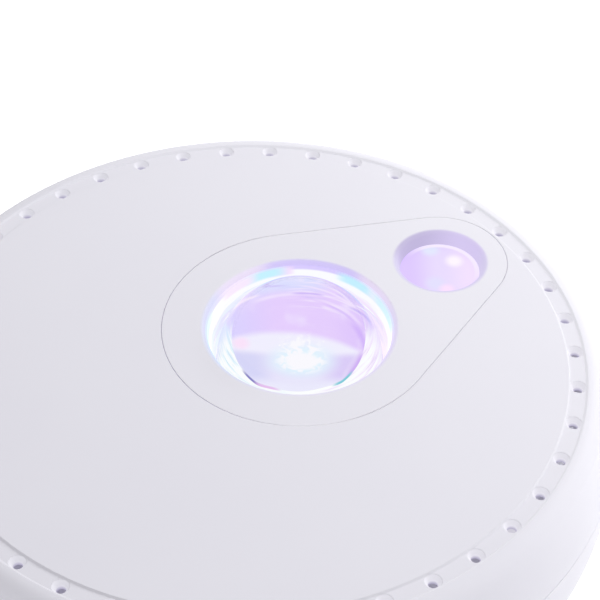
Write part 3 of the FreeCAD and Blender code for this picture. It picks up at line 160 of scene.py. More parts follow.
def out_from(tree, axes):
    """The distance from the upright axis through the centre."""
    x_square = product(tree, axes["X"], axes["X"])
    links = {0: axes["Y"], 1: axes["Y"], 2: x_square}
    square = add(tree, "Math", {"operation": "MULTIPLY_ADD"}, links).outputs[0]
    return add(tree, "Math", {"operation": "SQRT"}, {0: square}).outputs[0]


def layered(tree, tone, layers):
    """Lays tones over one another: each covers what is below it by its share, a value or a fade.

    The lowest is a hex colour or a tone."""
    for share, colour in layers:
        below = linear(tone) if isinstance(tone, str) else tone
        links = {"Fac": product(tree, share), "Color1": below}
        tone = add(tree, "MixRGB", {"Color2": linear(colour)}, links).outputs["Color"]
    return tone


def near_angle(tree, angle, centre, reach):
    """1 at an angle in degrees, 0 from reach degrees away."""
    turned = add(tree, "Math", {"operation": "SUBTRACT", 1: math.radians(centre)}, {0: angle}).outputs[0]
    cosine = add(tree, "Math", {"operation": "COSINE"}, {0: turned}).outputs[0]
    return product(tree, (cosine, math.cos(math.radians(reach)), math.cos(math.radians(0.25 * reach))))


# Plastics, rubber and other moulded stuff

def moulded(name, light, dark, roughness, grain, depth, drift=30.0, edge=None, **sockets):
    """Moulded stuff: its tone drifts slowly between two close colours, and a fine grain breaks its gloss.

    With an edge radius in millimetres, light rolls over the corners as over the mould's own rounding."""
    material, tree, place = new_material(name)
    slow = add(tree, "TexNoise", {"Scale": 1 / (drift * MM), "Detail": 2.0}, {"Vector": place}).outputs["Fac"]
    fine = add(tree, "TexNoise", {"Scale": 1 / (grain * MM), "Detail": 3.0}, {"Vector": place}).outputs["Fac"]
    span = {"To Min": roughness[0], "To Max": roughness[1]}
    gloss = add(tree, "MapRange", span, {"Value": fine}).outputs[0]
    links = {"Height": fine}
    if edge:
        links["Normal"] = add(tree, "Bevel", {"samples": 6, "Radius": edge * MM}).outputs["Normal"]
    relief = add(tree, "Bump", {"Strength": 1.0, "Distance": depth * MM}, links).outputs["Normal"]
    links = {"Base Color": layered(tree, light, ((slow, dark),)), "Roughness": gloss, "Normal": relief}
    return surface(material, tree, add(tree, "BsdfPrincipled", sockets, links).outputs["BSDF"])


# Metals

def drawn_metal(name, light, dark, roughness, line, stretch, depth):
    """Worked metal: tool or drawing lines, much longer than wide, in its tone, gloss and relief."""
    material, tree, place = new_material(name)
    turned = add(tree, "Mapping", {"Scale": stretch}, {"Vector": place}).outputs["Vector"]
    drawn = {"Scale": 1 / (line * MM), "Detail": 4.0}
    lines = add(tree, "TexNoise", drawn, {"Vector": turned}).outputs["Fac"]
    span = {"To Min": roughness[0], "To Max": roughness[1]}
    gloss = add(tree, "MapRange", span, {"Value": lines}).outputs[0]
    relief = add(tree, "Bump", {"Strength": 1.0, "Distance": depth * MM}, {"Height": lines}).outputs["Normal"]
    links = {"Base Color": layered(tree, light, ((lines, dark),)), "Roughness": gloss, "Normal": relief}
    return surface(material, tree, add(tree, "BsdfPrincipled", {"Metallic": 1.0}, links).outputs["BSDF"])


# Circuit boards

# Half width of the tracks and radius of the pads, as shares of their pitch
TRACK_SHARE = 0.09
PAD_SHARE = 0.17


def circuit_board(name, mask, track, pad, track_pitch, pad_pitch):
    """A board under its solder mask: tracks that show lighter through the mask, and bare tinned pads."""
    material, tree, place = new_material(name)
    cells = {"Scale": 1 / (track_pitch * MM), "distance": "CHEBYCHEV", "feature": "DISTANCE_TO_EDGE"}
    edges = add(tree, "TexVoronoi", cells, {"Vector": place}).outputs["Distance"]
    tracks = add(tree, "Math", {"operation": "LESS_THAN", 1: TRACK_SHARE}, {0: edges}).outputs[0]
    dots = add(tree, "TexVoronoi", {"Scale": 1 / (pad_pitch * MM), "Randomness": 0.3}, {"Vector": place})
    links = {0: dots.outputs["Distance"]}
    pads = add(tree, "Math", {"operation": "LESS_THAN", 1: PAD_SHARE}, links).outputs[0]
    tone = layered(tree, mask, ((tracks, track), (pads, pad)))
    relief = add(tree, "Bump", {"Strength": 0.6, "Distance": 0.03 * MM}, {"Height": tracks}).outputs["Normal"]
    links = {"Base Color": tone, "Metallic": pads, "Normal": relief}
    shader = add(tree, "BsdfPrincipled", {"Roughness": 0.32, "Coat Weight": 0.3}, links)
    return surface(material, tree, shader.outputs["BSDF"])


# Moulded ABS, satin from a fine spark-eroded mould: an even, faintly lavender white.
# The real grain is about 0.05 mm and is drawn 0.5 mm coarse, so that it shows as a soft unevenness.
FACE_ABS = ("#E8E7ED", "#E5E4EB", (0.40, 0.50), 0.5, 0.003)
lavender_white_abs = moulded("lavender_white_abs", *FACE_ABS, IOR=1.54)

# Moulded ABS from a smoother mould: the flush panel is a little glossier than the face round it.
PANEL_ABS = ("#E8E7ED", "#E6E5EC", (0.30, 0.38), 0.6, 0.002)
panel_white_abs = moulded("panel_white_abs", *PANEL_ABS, IOR=1.54)

# Moulded nylon: milky white, faintly yellow, half dull.
white_nylon = moulded("white_nylon", "#E9E8E2", "#E0DFD8", (0.42, 0.55), 0.4, 0.004, IOR=1.53)

# Acetal, natural: whiter and slicker than nylon, the stuff of small gears.
acetal_natural = moulded("acetal_natural", "#F0F0EA", "#E8E7DF", (0.26, 0.36), 0.5, 0.002, IOR=1.48)

# Black ABS of the inlet: deep and satin.
black_abs = moulded("black_abs", "#1C1C1F", "#151517", (0.34, 0.46), 0.4, 0.004, IOR=1.54)

# Thermoplastic rubber of pads and bumpers: dull grey, slightly dusty.
grey_rubber = moulded("grey_rubber", "#5B5B63", "#4E4E55", (0.70, 0.86), 0.5, 0.010, 6.0, IOR=1.52)

# Silicone rubber of the buttons: a soft lavender grey that hardly shines.
button_rubber = moulded("button_rubber", "#A9A8B8", "#9F9EAE", (0.55, 0.68), 0.35, 0.006, 8.0, IOR=1.43)

# Epoxy and sleeves of electronic components: near black with a fine stipple.
component_black = moulded("component_black", "#17171A", "#0F0F11", (0.45, 0.62), 0.3, 0.006, 5.0, IOR=1.55)

# PTFE washer: waxy dead white.
ptfe_washer = moulded("ptfe_washer", "#F1F1EE", "#E8E8E4", (0.48, 0.60), 0.5, 0.003, 5.0, IOR=1.35)

# PVC of the leads: dark grey, softly shiny.
lead_pvc = moulded("lead_pvc", "#38383D", "#2F2F33", (0.36, 0.50), 0.6, 0.003, 10.0, IOR=1.53)

# Phosphor gel on the emitters: a warm yellow that glows when lit.
led_phosphor = moulded(
    "led_phosphor", "#F6E9B0", "#F2DE92", (0.50, 0.60), 0.3, 0.004, 2.0,
    **{"IOR": 1.41, "Emission Color": linear("#CDB6FF"), "Emission Strength": 2.0},
)

# Zinc-plated steel screws and pins: bright, with fine drawing lines.
zinc_steel = drawn_metal("zinc_steel", "#C9CACE", "#B4B5BA", (0.24, 0.34), 0.25, (1.0, 1.0, 0.1), 0.002)

# Plain steel disc of the ballast: dull grey, rolled.
ballast_steel = drawn_metal("ballast_steel", "#8F9095", "#77787D", (0.42, 0.56), 0.8, (0.05, 1.0, 1.0), 0.005)

# Die-cast aluminium: pale grey skin with a fine cloudy casting texture.
die_cast_aluminium = drawn_metal(
    "die_cast_aluminium", "#C4C5C9", "#ABACB1", (0.38, 0.50), 0.7, (1.0, 1.0, 1.0), 0.012,
)

# Machined brass of the laser barrel: turning lines round its axis.
laser_brass = drawn_metal("laser_brass", "#CFAE62", "#B9954A", (0.20, 0.30), 0.3, (0.1, 0.1, 1.0), 0.004)

# Drawn steel can of the motor: satin, with drawing lines up its side.
motor_can = drawn_metal("motor_can", "#BDBEC2", "#A3A4A9", (0.28, 0.40), 0.4, (1.0, 1.0, 0.08), 0.004)

# Nickel-plated contact: warm and mirror bright.
nickel_contact = drawn_metal(
    "nickel_contact", "#D3CFC6", "#C2BEB4", (0.12, 0.20), 0.3, (1.0, 1.0, 0.2), 0.001,
)

# Glass-fibre board under green solder mask.
green_board = circuit_board("green_board", "#12502B", "#1D6A3A", "#C9CBCB", 2.2, 3.2)

# Metal-cored LED board under white mask, with its tracks as a faint relief.
white_led_board = circuit_board("white_led_board", "#EDEDE9", "#E2E2DC", "#C9CBCB", 3.0, 6.0)


# Clear optics

def clear_plastic(name, tint, wave, depth):
    """Clear, polished plastic: light goes through, and slow waves of the moulding bend it slightly."""
    material, tree, place = new_material(name)
    waves = add(tree, "TexNoise", {"Scale": 1 / (wave * MM), "Detail": 1.0}, {"Vector": place}).outputs["Fac"]
    relief = add(tree, "Bump", {"Strength": 1.0, "Distance": depth * MM}, {"Height": waves}).outputs["Normal"]
    polished = {"Base Color": linear(tint), "Transmission Weight": 1.0, "IOR": 1.49, "Roughness": 0.0}
    shader = add(tree, "BsdfPrincipled", polished, {"Normal": relief})
    return surface(material, tree, shader.outputs["BSDF"])


# Polished acrylic: clear as glass and faintly cool.
clear_acrylic = clear_plastic("clear_acrylic", "#FAF9FF", 9.0, 0.01)


# Light painted on the lens, in millimetres from its centre: the circle that the drop is reckoned from,
# the fades of the pale band's upper and lower edge, and the plane whose level bounds the bright crescents
HAZE_CIRCLE = 12.6
BAND_TOP = (6.6, 5.1)
BAND_FOOT = (2.6, 0.7)
FLANK_PLANE = (-0.023, -0.325, 0.9455)
FLANK_LEVEL = (11.12, 10.98)

# Arcs of light and shade in the upper part of the lens, each as drop, angle, half length, half width, lean,
# tone and strength. The drop is 0 on the haze's circle and grows evenly down the view into the dome.
LENS_ARCS = (
    (2.0, 106.0, 9.0, 0.45, 0.0, "#C9BCF6", 0.8),
    (3.6, 121.0, 9.0, 0.45, 0.0, "#FFF3FF", 0.95),
    (4.7, 102.0, 13.0, 0.70, 0.0, "#F6EAFF", 0.7),
    (4.5, 85.5, 8.0, 0.50, 0.0, "#CBB0F8", 0.9),
    (2.3, 75.0, 15.0, 0.40, -9.0, "#FBF0FF", 0.7),
    (3.7, 73.0, 16.0, 0.45, -5.2, "#F8EAFF", 0.8),
    (3.0, 68.0, 12.0, 0.30, -7.0, "#D6C2FA", 0.7),
    (6.2, 64.0, 18.0, 0.50, -1.8, "#F6E6FF", 0.7),
    (6.8, 62.0, 12.0, 0.35, -1.8, "#D6BAFA", 0.7),
    (5.0, 51.0, 9.0, 0.50, 1.7, "#C8B4F6", 0.9),
    (4.0, 52.0, 6.0, 0.25, 3.2, "#FFFFFF", 0.9),
    (7.9, 32.0, 17.0, 0.80, -0.9, "#CDA9FA", 0.75),
)


def arc_shares(tree, drop, angle):
    """The share and tone of each arc of LENS_ARCS."""
    for level, centre, reach, width, lean, colour, strength in LENS_ARCS:
        turned = add(tree, "Math", {"operation": "SUBTRACT", 1: math.radians(centre)}, {0: angle}).outputs[0]
        middle = add(tree, "Math", {"operation": "MULTIPLY_ADD", 1: lean, 2: level}, {0: turned}).outputs[0]
        across = (apart(tree, drop, middle), width, 0.0)
        yield product(tree, across, near_angle(tree, angle, centre, reach * 1.3), strength), colour


def lens_acrylic():
    """Polished acrylic of the dome, lit from below. Its rippled underside scatters the light of the emitters.

    Light is laid over the clear plastic, by place on the lens in millimetres from its centre. On the
    underside it is a violet haze with thin arcs of light and shade, a pale band below it, a spot of sparkles
    in the middle and a paler lavender in front. On the front flank it is two bright crescents, with split
    colours along their edge. The drop is sqrt(HAZE_CIRCLE^2 - radius^2)."""
    material, tree, place = new_material("clear_acrylic_lens")
    local, axes = about(tree, place, (LENS[0], LENS[1], DOME_BASE))
    radius = out_from(tree, axes)
    angle = add(tree, "Math", {"operation": "ARCTAN2"}, {0: axes["Y"], 1: axes["X"]}).outputs[0]
    rest = {0: HAZE_CIRCLE ** 2, 1: product(tree, radius, radius)}
    square = add(tree, "Math", {"operation": "SUBTRACT"}, rest).outputs[0]
    drop = add(tree, "Math", {"operation": "SQRT"}, {0: square}).outputs[0]
    polar = add(tree, "CombineXYZ", {}, {"X": angle, "Y": drop}).outputs["Vector"]
    long_ways = add(tree, "Mapping", {"Scale": (2.2, 1.0, 1.0)}, {"Vector": polar}).outputs["Vector"]
    grain = add(tree, "TexNoise", {"Scale": 1.0, "Detail": 2.0}, {"Vector": long_ways}).outputs["Fac"]
    clouds = add(tree, "TexNoise", {"Scale": 0.22, "Detail": 2.0}, {"Vector": local}).outputs["Fac"]
    right_side = (axes["X"], -3.0, 2.0)
    # Painted streaks of light and shade in the violet haze
    light_streaks = product(tree, (grain, 0.50, 0.70), (drop, 8.5, 6.5), right_side)
    shade_streaks = product(tree, (grain, 0.46, 0.30), (drop, 8.0, 6.0), right_side)
    haze = layered(tree, "#E9D1FE", (
        ((axes["X"], -2.0, -9.0), "#DCD3FF"),
        ((axes["X"], 3.0, 8.0), "#E2C8FD"),
        (product(tree, (drop, 5.5, 2.0), near_angle(tree, angle, 97.0, 26.0)), "#DADFFF"),
        ((clouds, 0.50, 0.72), "#F0E2FF"),
        (light_streaks, "#F9EEFF"),
        (shade_streaks, "#D9C6FA"),
        *arc_shares(tree, drop, angle),
        ((axes["X"], -8.7, -9.4), "#DCE8FF"),
        ((axes["X"], 9.2, 9.8), "#F3E8FF"),
    ))

    bow = add(tree, "Math", {"operation": "MULTIPLY_ADD", 1: 0.025, 2: 0.15}, {0: axes["X"]}).outputs[0]
    cup = add(tree, "Math", {"operation": "MULTIPLY_ADD", 1: -0.010, 2: 0.03}, {0: axes["X"]}).outputs[0]
    arch, sill = (
        add(tree, "Math", {"operation": "ADD"}, {0: axes["Y"], 1: product(tree, bend, axes["X"])}).outputs[0]
        for bend in (bow, cup)
    )
    below_haze = (arch, *BAND_TOP)
    # A painted rosy glow in the pale band of light
    spot = {"operation": "DISTANCE", 1: (-8.0, 4.3, -1.3)}
    rosy_glow = (add(tree, "VectorMath", spot, {0: local}).outputs["Value"], 1.8, 0.4)
    below_band = (sill, *BAND_FOOT)
    front = layered(tree, haze, (
        (below_haze, "#F5F4FF"),
        (product(tree, below_haze, rosy_glow), "#FFE6FB"),
        (below_band, "#EAE6FC"),
        (product(tree, below_band, (axes["X"], -3.0, -7.0)), "#D9D9F8"),
        (product(tree, below_band, (axes["X"], 2.0, 7.0)), "#DCCDF8"),
        (product(tree, below_band, (axes["Y"], -2.0, -5.0)), "#EEEEFD"),
    ))

    # A painted hotspot of white light with sparkles in the middle of the lens
    oval = {"Location": (-0.2, -0.5, 0.0), "Scale": (0.72, 1.0, 0.0)}
    flat = add(tree, "Mapping", oval, {"Vector": local}).outputs["Vector"]
    away = add(tree, "VectorMath", {"operation": "LENGTH"}, {0: flat}).outputs["Value"]
    spot = {"operation": "DISTANCE", 1: (0.2, 2.7, -1.2)}
    upper = add(tree, "VectorMath", spot, {0: local}).outputs["Value"]
    ragged = {"Scale": 0.9, "Detail": 1.5, "Distortion": 0.6}
    ragged_glow = (add(tree, "TexNoise", ragged, {"Vector": local}).outputs["Fac"], 0.40, 0.60)
    sparks = add(tree, "TexVoronoi", {"Scale": 0.9}, {"Vector": local}).outputs["Distance"]
    front = layered(tree, front, (
        ((away, 4.6, 1.4), "#E2F9FF"),
        (product(tree, (upper, 3.8, 1.6), ragged_glow), "#FFFFFF"),
        (product(tree, (away, 3.2, 1.8), ragged_glow), "#FFFFFF"),
        ((away, 2.2, 1.3), "#FFFFFF"),
        (product(tree, (sparks, 0.20, 0.08), (upper, 4.2, 3.0)), "#FFFFFF"),
    ))

    tilted = add(tree, "VectorMath", {"operation": "DOT_PRODUCT", 1: FLANK_PLANE}, {0: local})
    links = {0: near_angle(tree, angle, -90.0, 34.0), 2: tilted.outputs["Value"]}
    level = add(tree, "Math", {"operation": "MULTIPLY_ADD", 1: -0.80}, links).outputs[0]
    near_front = product(tree, (axes["Y"], 2.0, -6.0), (axes["Z"], 0.3, 2.0))
    streaks = add(tree, "Mapping", {"Scale": (0.12, 0.12, 1.4)}, {"Vector": local}).outputs["Vector"]
    shine = add(tree, "TexNoise", {"Scale": 1.0, "Detail": 3.0}, {"Vector": streaks}).outputs["Fac"]
    flank = product(tree, (level, *FLANK_LEVEL), near_front, (shine, 0.15, 0.45))
    line = product(tree, (level, 10.72, 10.86), (level, 11.4, 11.1), near_front)
    shade = product(tree, (level, 10.8, 10.95), (level, 12.8, 11.0), near_front)
    teal_line = product(tree, line, near_angle(tree, angle, -56.0, 11.0))
    violet_shade = product(tree, shade, near_angle(tree, angle, -42.0, 16.0))
    streak = (shine, 0.56, 0.40)
    edge = layered(tree, "#FCFEFF", (
        (product(tree, streak, (axes["X"], 0.0, -8.0)), "#DCF1FB"),
        (product(tree, streak, (axes["X"], 0.0, 8.0)), "#F7EDFF"),
        (product(tree, line, near_angle(tree, angle, -126.0, 13.0)), "#8682C4"),
        (product(tree, line, near_angle(tree, angle, -114.0, 12.0)), "#E6BFEE"),
        (violet_shade, "#CFAEF4"),
        (teal_line, "#7FCBDA"),
    ))

    base = {"Base Color": linear("#F5F3FD"), "Transmission Weight": 1.0, "IOR": 1.46, "Roughness": 0.0}
    mixed = add(tree, "BsdfPrincipled", base).outputs["BSDF"]
    underside = product(tree, (axes["Z"], -0.6, -0.7), 0.95)
    left_line = product(tree, line, near_angle(tree, angle, -122.0, 22.0))
    lays = ((underside, front), (flank, edge), (left_line, edge), (violet_shade, edge), (teal_line, edge))
    for share, tone in lays:
        glow = add(tree, "Emission", {"Strength": 1.0}, {"Color": tone}).outputs[0]
        mixed = add(tree, "MixShader", links={0: share, 1: mixed, 2: glow}).outputs[0]
    return surface(material, tree, mixed)


def lit_ripples():
    """The rippled plate, with the haze shining through: violet, bluish to the left and rosier to the right.

    The crests of its ripples are painted as pale rows of light, broken off by a noise."""
    material, tree, place = new_material("lit_ripple_acrylic")
    local, axes = about(tree, place, (LENS[0], LENS[1], 0.0))
    radius = out_from(tree, axes)
    clouds = add(tree, "TexNoise", {"Scale": 0.16, "Detail": 2.0}, {"Vector": local}).outputs["Fac"]
    bent = add(tree, "Math", {"operation": "MULTIPLY_ADD", 1: 1.6}, {0: clouds, 2: radius}).outputs[0]
    phase = product(tree, bent, 2 * math.pi / RIPPLE_PITCH)
    crest = (add(tree, "Math", {"operation": "SINE"}, {0: phase}).outputs[0], 0.2, 0.95)
    drawn = add(tree, "TexNoise", {"Scale": 0.45, "Detail": 1.0}, {"Vector": local}).outputs["Fac"]
    rows = product(tree, crest, (radius, 7.8, 9.4), (drawn, 0.42, 0.58), (axes["Y"], 5.0, 7.5))
    tone = layered(tree, "#DCD4FF", (
        ((axes["X"], -7.0, 7.0), "#EED0FC"),
        ((clouds, 0.42, 0.68), "#DAC6FF"),
        (rows, "#FFF0FF"),
    ))
    settings = {"Base Color": linear("#4A4458"), "Roughness": 0.4, "Emission Strength": 1.0}
    shader = add(tree, "BsdfPrincipled", settings, {"Emission Color": tone})
    return surface(material, tree, shader.outputs["BSDF"])


def haze_print():
    """Transparent film with a printed haze: patches of violet, blue and rose that flow into each other."""
    material, tree, place = new_material("nebula_print")
    clouds = {"Scale": 1 / (9.0 * MM), "Detail": 4.0, "Distortion": 1.2}
    swirl = {"Scale": 1 / (14.0 * MM), "Detail": 2.0, "Distortion": 2.0}
    tone = layered(tree, "#5A3FD8", (
        (add(tree, "TexNoise", clouds, {"Vector": place}).outputs["Fac"], "#D66BE0"),
        (add(tree, "TexNoise", swirl, {"Vector": place}).outputs["Fac"], "#4FA6F2"),
    ))
    settings = {"Roughness": 0.12, "Transmission Weight": 0.8, "IOR": 1.49}
    shader = add(tree, "BsdfPrincipled", settings, {"Base Color": tone})
    return surface(material, tree, shader.outputs["BSDF"])


# Light at the mouth of the lens, each tint round an angle in degrees, with its reach
MOUTH_PALE = "#E9E3FA"
MOUTH_TINTS = (
    (80.0, 62.0, "#D6C9FF"),
    (262.0, 75.0, "#E4DFF6"), (350.0, 60.0, "#E6DDFB"), (160.0, 45.0, "#DDDFFC"), (132.0, 26.0, "#EFE3FC"),
    (215.0, 34.0, "#D8DFF8"), (34.0, 22.0, "#ECDFFB"),
)
# Glints on the collar just below its mouth, in the same way
GLINTS = (
    (194.0, 36.0, "#D4F6FF"), (102.0, 10.0, "#F4E0FE"), (114.0, 18.0, "#BFF3FF"), (38.0, 12.0, "#F8EEFF"),
    (18.0, 24.0, "#CFF3FF"), (51.0, 17.0, "#BDF0FF"), (134.0, 18.0, "#F8E9FF"), (213.0, 16.0, "#CDE8F5"),
)


def lit_collar():
    """Frosted acrylic ring, lit from inside: white below its tinted mouth, blue and rose further down."""
    material, tree, place = new_material("frosted_acrylic")
    local, axes = about(tree, place, (LENS[0], LENS[1], DOME_BASE))
    angle = add(tree, "Math", {"operation": "ARCTAN2"}, {0: axes["Y"], 1: axes["X"]}).outputs[0]
    streaks = add(tree, "Mapping", {"Scale": (0.15, 0.15, 1.6)}, {"Vector": local}).outputs["Vector"]
    drawn = {"Scale": 1.0, "Detail": 3.0, "Distortion": 0.4}
    grain = add(tree, "TexNoise", drawn, {"Vector": streaks}).outputs["Fac"]
    lift = add(tree, "Math", {"operation": "MULTIPLY_ADD", 1: 4.0}, {0: grain, 2: axes["Z"]}).outputs[0]
    mouth = (axes["Z"], 8.0, 8.6)
    below = product(tree, (axes["Z"], 6.6, 7.4), (axes["Z"], 9.3, 8.5))
    tone = layered(tree, "#E6F0FE", (
        ((axes["X"], -4.0, 9.0), "#F5E8FE"),
        ((grain, 0.42, 0.66), "#DDD8FF"),
        ((grain, 0.56, 0.70), "#FDFDFF"),
        ((lift, 6.4, 8.0), "#FDFFFF"),
        (mouth, MOUTH_PALE),
        *((product(tree, height, near_angle(tree, angle, centre, reach)), tint)
          for height, tints in ((mouth, MOUTH_TINTS), (below, GLINTS)) for centre, reach, tint in tints),
    ))
    settings = {"Base Color": linear("#5E5A70"), "Roughness": 0.35, "IOR": 1.49, "Emission Strength": 0.88}
    shader = add(tree, "BsdfPrincipled", settings, {"Emission Color": tone})
    return surface(material, tree, shader.outputs["BSDF"])


# Patches of light on the laser window, each with its place from the middle and its reach in mm, and its tone
WINDOW_PATCHES = (
    (-1.2, -4.2, 3.2, "#DCD9FF"), (1.3, -6.2, 2.6, "#F6DAFA"),
    (-1.8, 7.0, 3.0, "#DEE4FF"), (3.4, 3.2, 2.8, "#FAF2FF"),
)


def lit_window():
    """Frosted acrylic disc over the laser, painted with light: violet on the left, rosy white on the right,
    with soft patches and a painted highlight round its rim.
    """
    material, tree, place = new_material("frosted_acrylic_window_painted_light")
    local, axes = about(tree, place, (LASER[0], LASER[1], WINDOW_HEIGHT))
    angle = add(tree, "Math", {"operation": "ARCTAN2"}, {0: axes["Y"], 1: axes["X"]}).outputs[0]
    # Painted highlight round the far rim of the window
    rim = product(tree, (out_from(tree, axes), 7.5, 8.1), near_angle(tree, angle, 60.0, 95.0))
    patches = []
    for x, y, reach, colour in WINDOW_PATCHES:
        spot = {"operation": "DISTANCE", 1: (x, y, 0.0)}
        away = add(tree, "VectorMath", spot, {0: local}).outputs["Value"]
        patches.append(((away, reach, 0.2 * reach), colour))
    tone = layered(tree, "#E2D4FF", (
        ((axes["X"], 0.0, -7.0), "#D6BFFF"),
        ((axes["X"], 0.5, 7.0), "#EEDBFF"),
        *patches,
        (rim, "#F6ECFF"),
    ))
    settings = {"Base Color": linear("#4E4A60"), "Roughness": 0.3, "IOR": 1.49, "Emission Strength": 0.92}
    shader = add(tree, "BsdfPrincipled", settings, {"Emission Color": tone})
    return surface(material, tree, shader.outputs["BSDF"])


def lit_moulding(material, share, tone):
    """Paints light and shade over a moulding's surface: an emission of the tone mixed over its finish by a
    share.
    """
    tree = material.node_tree
    output = next(node for node in tree.nodes if node.type == "OUTPUT_MATERIAL")
    shader = output.inputs["Surface"].links[0].from_socket
    glow = add(tree, "Emission", {"Strength": 1.0}, {"Color": tone}).outputs[0]
    mixed = add(tree, "MixShader", links={0: share, 1: shader, 2: glow}).outputs[0]
    tree.links.new(mixed, output.inputs["Surface"])
    return material


def object_place(material):
    """The coordinates that a finished material reads."""
    return next(node for node in material.node_tree.nodes if node.type == "TEX_COORD").outputs["Object"]


def lit_seam(material, place, share):
    """Paints the walls of the panel's seam with light and shade, as a groove lit from the upper right:
    painted shade on the left, a greyish painted shade on the near right and painted light elsewhere.
    """
    tree = material.node_tree
    axes = about(tree, place, (0.0, 0.0, FACE_HEIGHT))[1]
    near = product(tree, (axes["X"], 14.0, 26.0), (axes["Y"], 44.0, 38.0))
    tone = layered(tree, "#F6F5FA", (((axes["X"], 14.0, -10.0), "#B3AFBF"), (near, "#D0CDD9")))
    return lit_moulding(material, product(tree, share, (axes["Z"], -0.02, -0.2)), tone)


# Fades in the panel by distance in millimetres: the light spilt round the lens and round the laser's opening,
# and the clearance that the seam's light keeps from each
LENS_SPILL = (21.3, 20.3)
LASER_SPILL = (10.8, 9.9)
LENS_CLEARANCE = (22.0, 23.0)
LASER_CLEARANCE = (11.5, 12.5)


def panel_abs():
    """Moulded ABS of the lens panel, glossier than the face: violet light spills on its openings' edges."""
    material = moulded("panel_abs_lit", *PANEL_ABS, edge=0.12, IOR=1.54)
    tree, place = material.node_tree, object_place(material)
    lens_axes = about(tree, place, (LENS[0], LENS[1], FACE_HEIGHT))[1]
    lens_way = out_from(tree, lens_axes)
    angle = add(tree, "Math", {"operation": "ARCTAN2"}, {0: lens_axes["Y"], 1: lens_axes["X"]}).outputs[0]
    tints = ((near_angle(tree, angle, centre, reach), tint) for centre, reach, tint in MOUTH_TINTS)
    spill = product(tree, (lens_way, *LENS_SPILL), 0.85)
    lit_moulding(material, spill, layered(tree, MOUTH_PALE, tints))

    laser_axes = about(tree, place, (LASER[0], LASER[1], FACE_HEIGHT))[1]
    laser_way = out_from(tree, laser_axes)
    clear = product(tree, (lens_way, *LENS_CLEARANCE), (laser_way, *LASER_CLEARANCE))
    lit_seam(material, place, clear)

    # Painted light and shade on the laser opening's wall: darker at the back left, lighter to the right and
    # to the front
    wall = layered(tree, "#BCB0DA", (
        ((laser_axes["X"], -6.0, 6.0), "#D8CAF6"),
        ((laser_axes["Y"], 5.0, -1.0), "#D8CFF2"),
    ))
    return lit_moulding(material, product(tree, (laser_way, *LASER_SPILL), 0.8), wall)


# Fades by skin, which cover_abs gives: into the vents' mouths, into their bores and to the painted shade deep
# in these
MOUTH_SKIN = (0.950, 0.932)
BORE_SKIN = (0.845, 0.800)
BORE_SHADE_SKIN = (0.850, 0.660)
# Fades by radius, in millimetres: out to the vents and in to the panel's seam. By height: up to the face
VENTS_FROM = (66.4, 66.6)
SEAM_WITHIN = (66.3, 66.0)
CHANNEL_TOP = (-0.6, -0.4)


def cover_abs():
    """Moulded ABS of the face, with painted light and shade. The vents' mouths are painted pale as painted
    light, and their bores a darker lavender as painted shade; the seam's walls get painted light and shade.
    The channel's outer wall is painted lighter, as painted light over its shade, and its inner wall shades
    almost as the face.

    The skin is 1 on the outer surface and falls inwards, by the shoulder's quarter ellipse: out^2 + up^2."""
    material = moulded("cover_abs_lit", *FACE_ABS, edge=0.2, IOR=1.54)
    tree, place = material.node_tree, object_place(material)
    axes = about(tree, place, (0.0, 0.0, FACE_HEIGHT))[1]
    radius = out_from(tree, axes)
    settings = {"From Min": FACE_EDGE_RADIUS, "From Max": BODY_RADIUS, "clamp": True}
    out = add(tree, "MapRange", settings, {"Value": radius}).outputs[0]
    up = add(tree, "MapRange", {"From Min": -SHOULDER_DROP, "From Max": 0.0}, {"Value": axes["Z"]}).outputs[0]
    links = {0: out, 1: out, 2: product(tree, up, up)}
    skin = add(tree, "Math", {"operation": "MULTIPLY_ADD"}, links).outputs[0]

    mouth = product(tree, (skin, *MOUTH_SKIN), (radius, *VENTS_FROM), 0.50)
    links = {0: product(tree, (skin, *BORE_SKIN)), 2: mouth}
    share = add(tree, "Math", {"operation": "MULTIPLY_ADD", 1: 0.35}, links).outputs[0]
    # Painted light and shade in the vents: their mouths are lifted pale, lighter to the right, and their
    # bores take a darker lavender as painted shade
    right = (axes["X"], -60.0, 60.0)
    deep = (skin, *BORE_SHADE_SKIN)
    lit_moulding(material, share, layered(tree, "#ECEBF3", ((right, "#F7F5FD"), (deep, "#AFAAC6"))))

    near_top = (axes["Z"], *CHANNEL_TOP)
    inner, outer = (apart(tree, radius, wall) for wall in CHANNEL_WALLS)
    # Painted light on the channel's outer wall, lighter to the right, over the shade that its slope would
    # show
    through = product(tree, (outer, 0.5, 0.1), near_top, 0.70)
    lit_moulding(material, through, layered(tree, "#E2E1E9", ((right, "#EAE9F0"),)))

    settings = {"vector_type": "NORMAL", "convert_from": "OBJECT", "convert_to": "WORLD"}
    face_normal = add(tree, "VectorTransform", settings, {"Vector": (0.0, 0.0, 1.0)}).outputs["Vector"]
    relief = next(node for node in tree.nodes if node.type == "BUMP").inputs["Normal"]
    even = product(tree, (inner, 0.6, 0.3), near_top, 0.5)
    links = {"Fac": even, "Color1": relief.links[0].from_socket, "Color2": face_normal}
    tree.links.new(add(tree, "MixRGB", links=links).outputs["Color"], relief)

    return lit_seam(material, place, (radius, *SEAM_WITHIN))


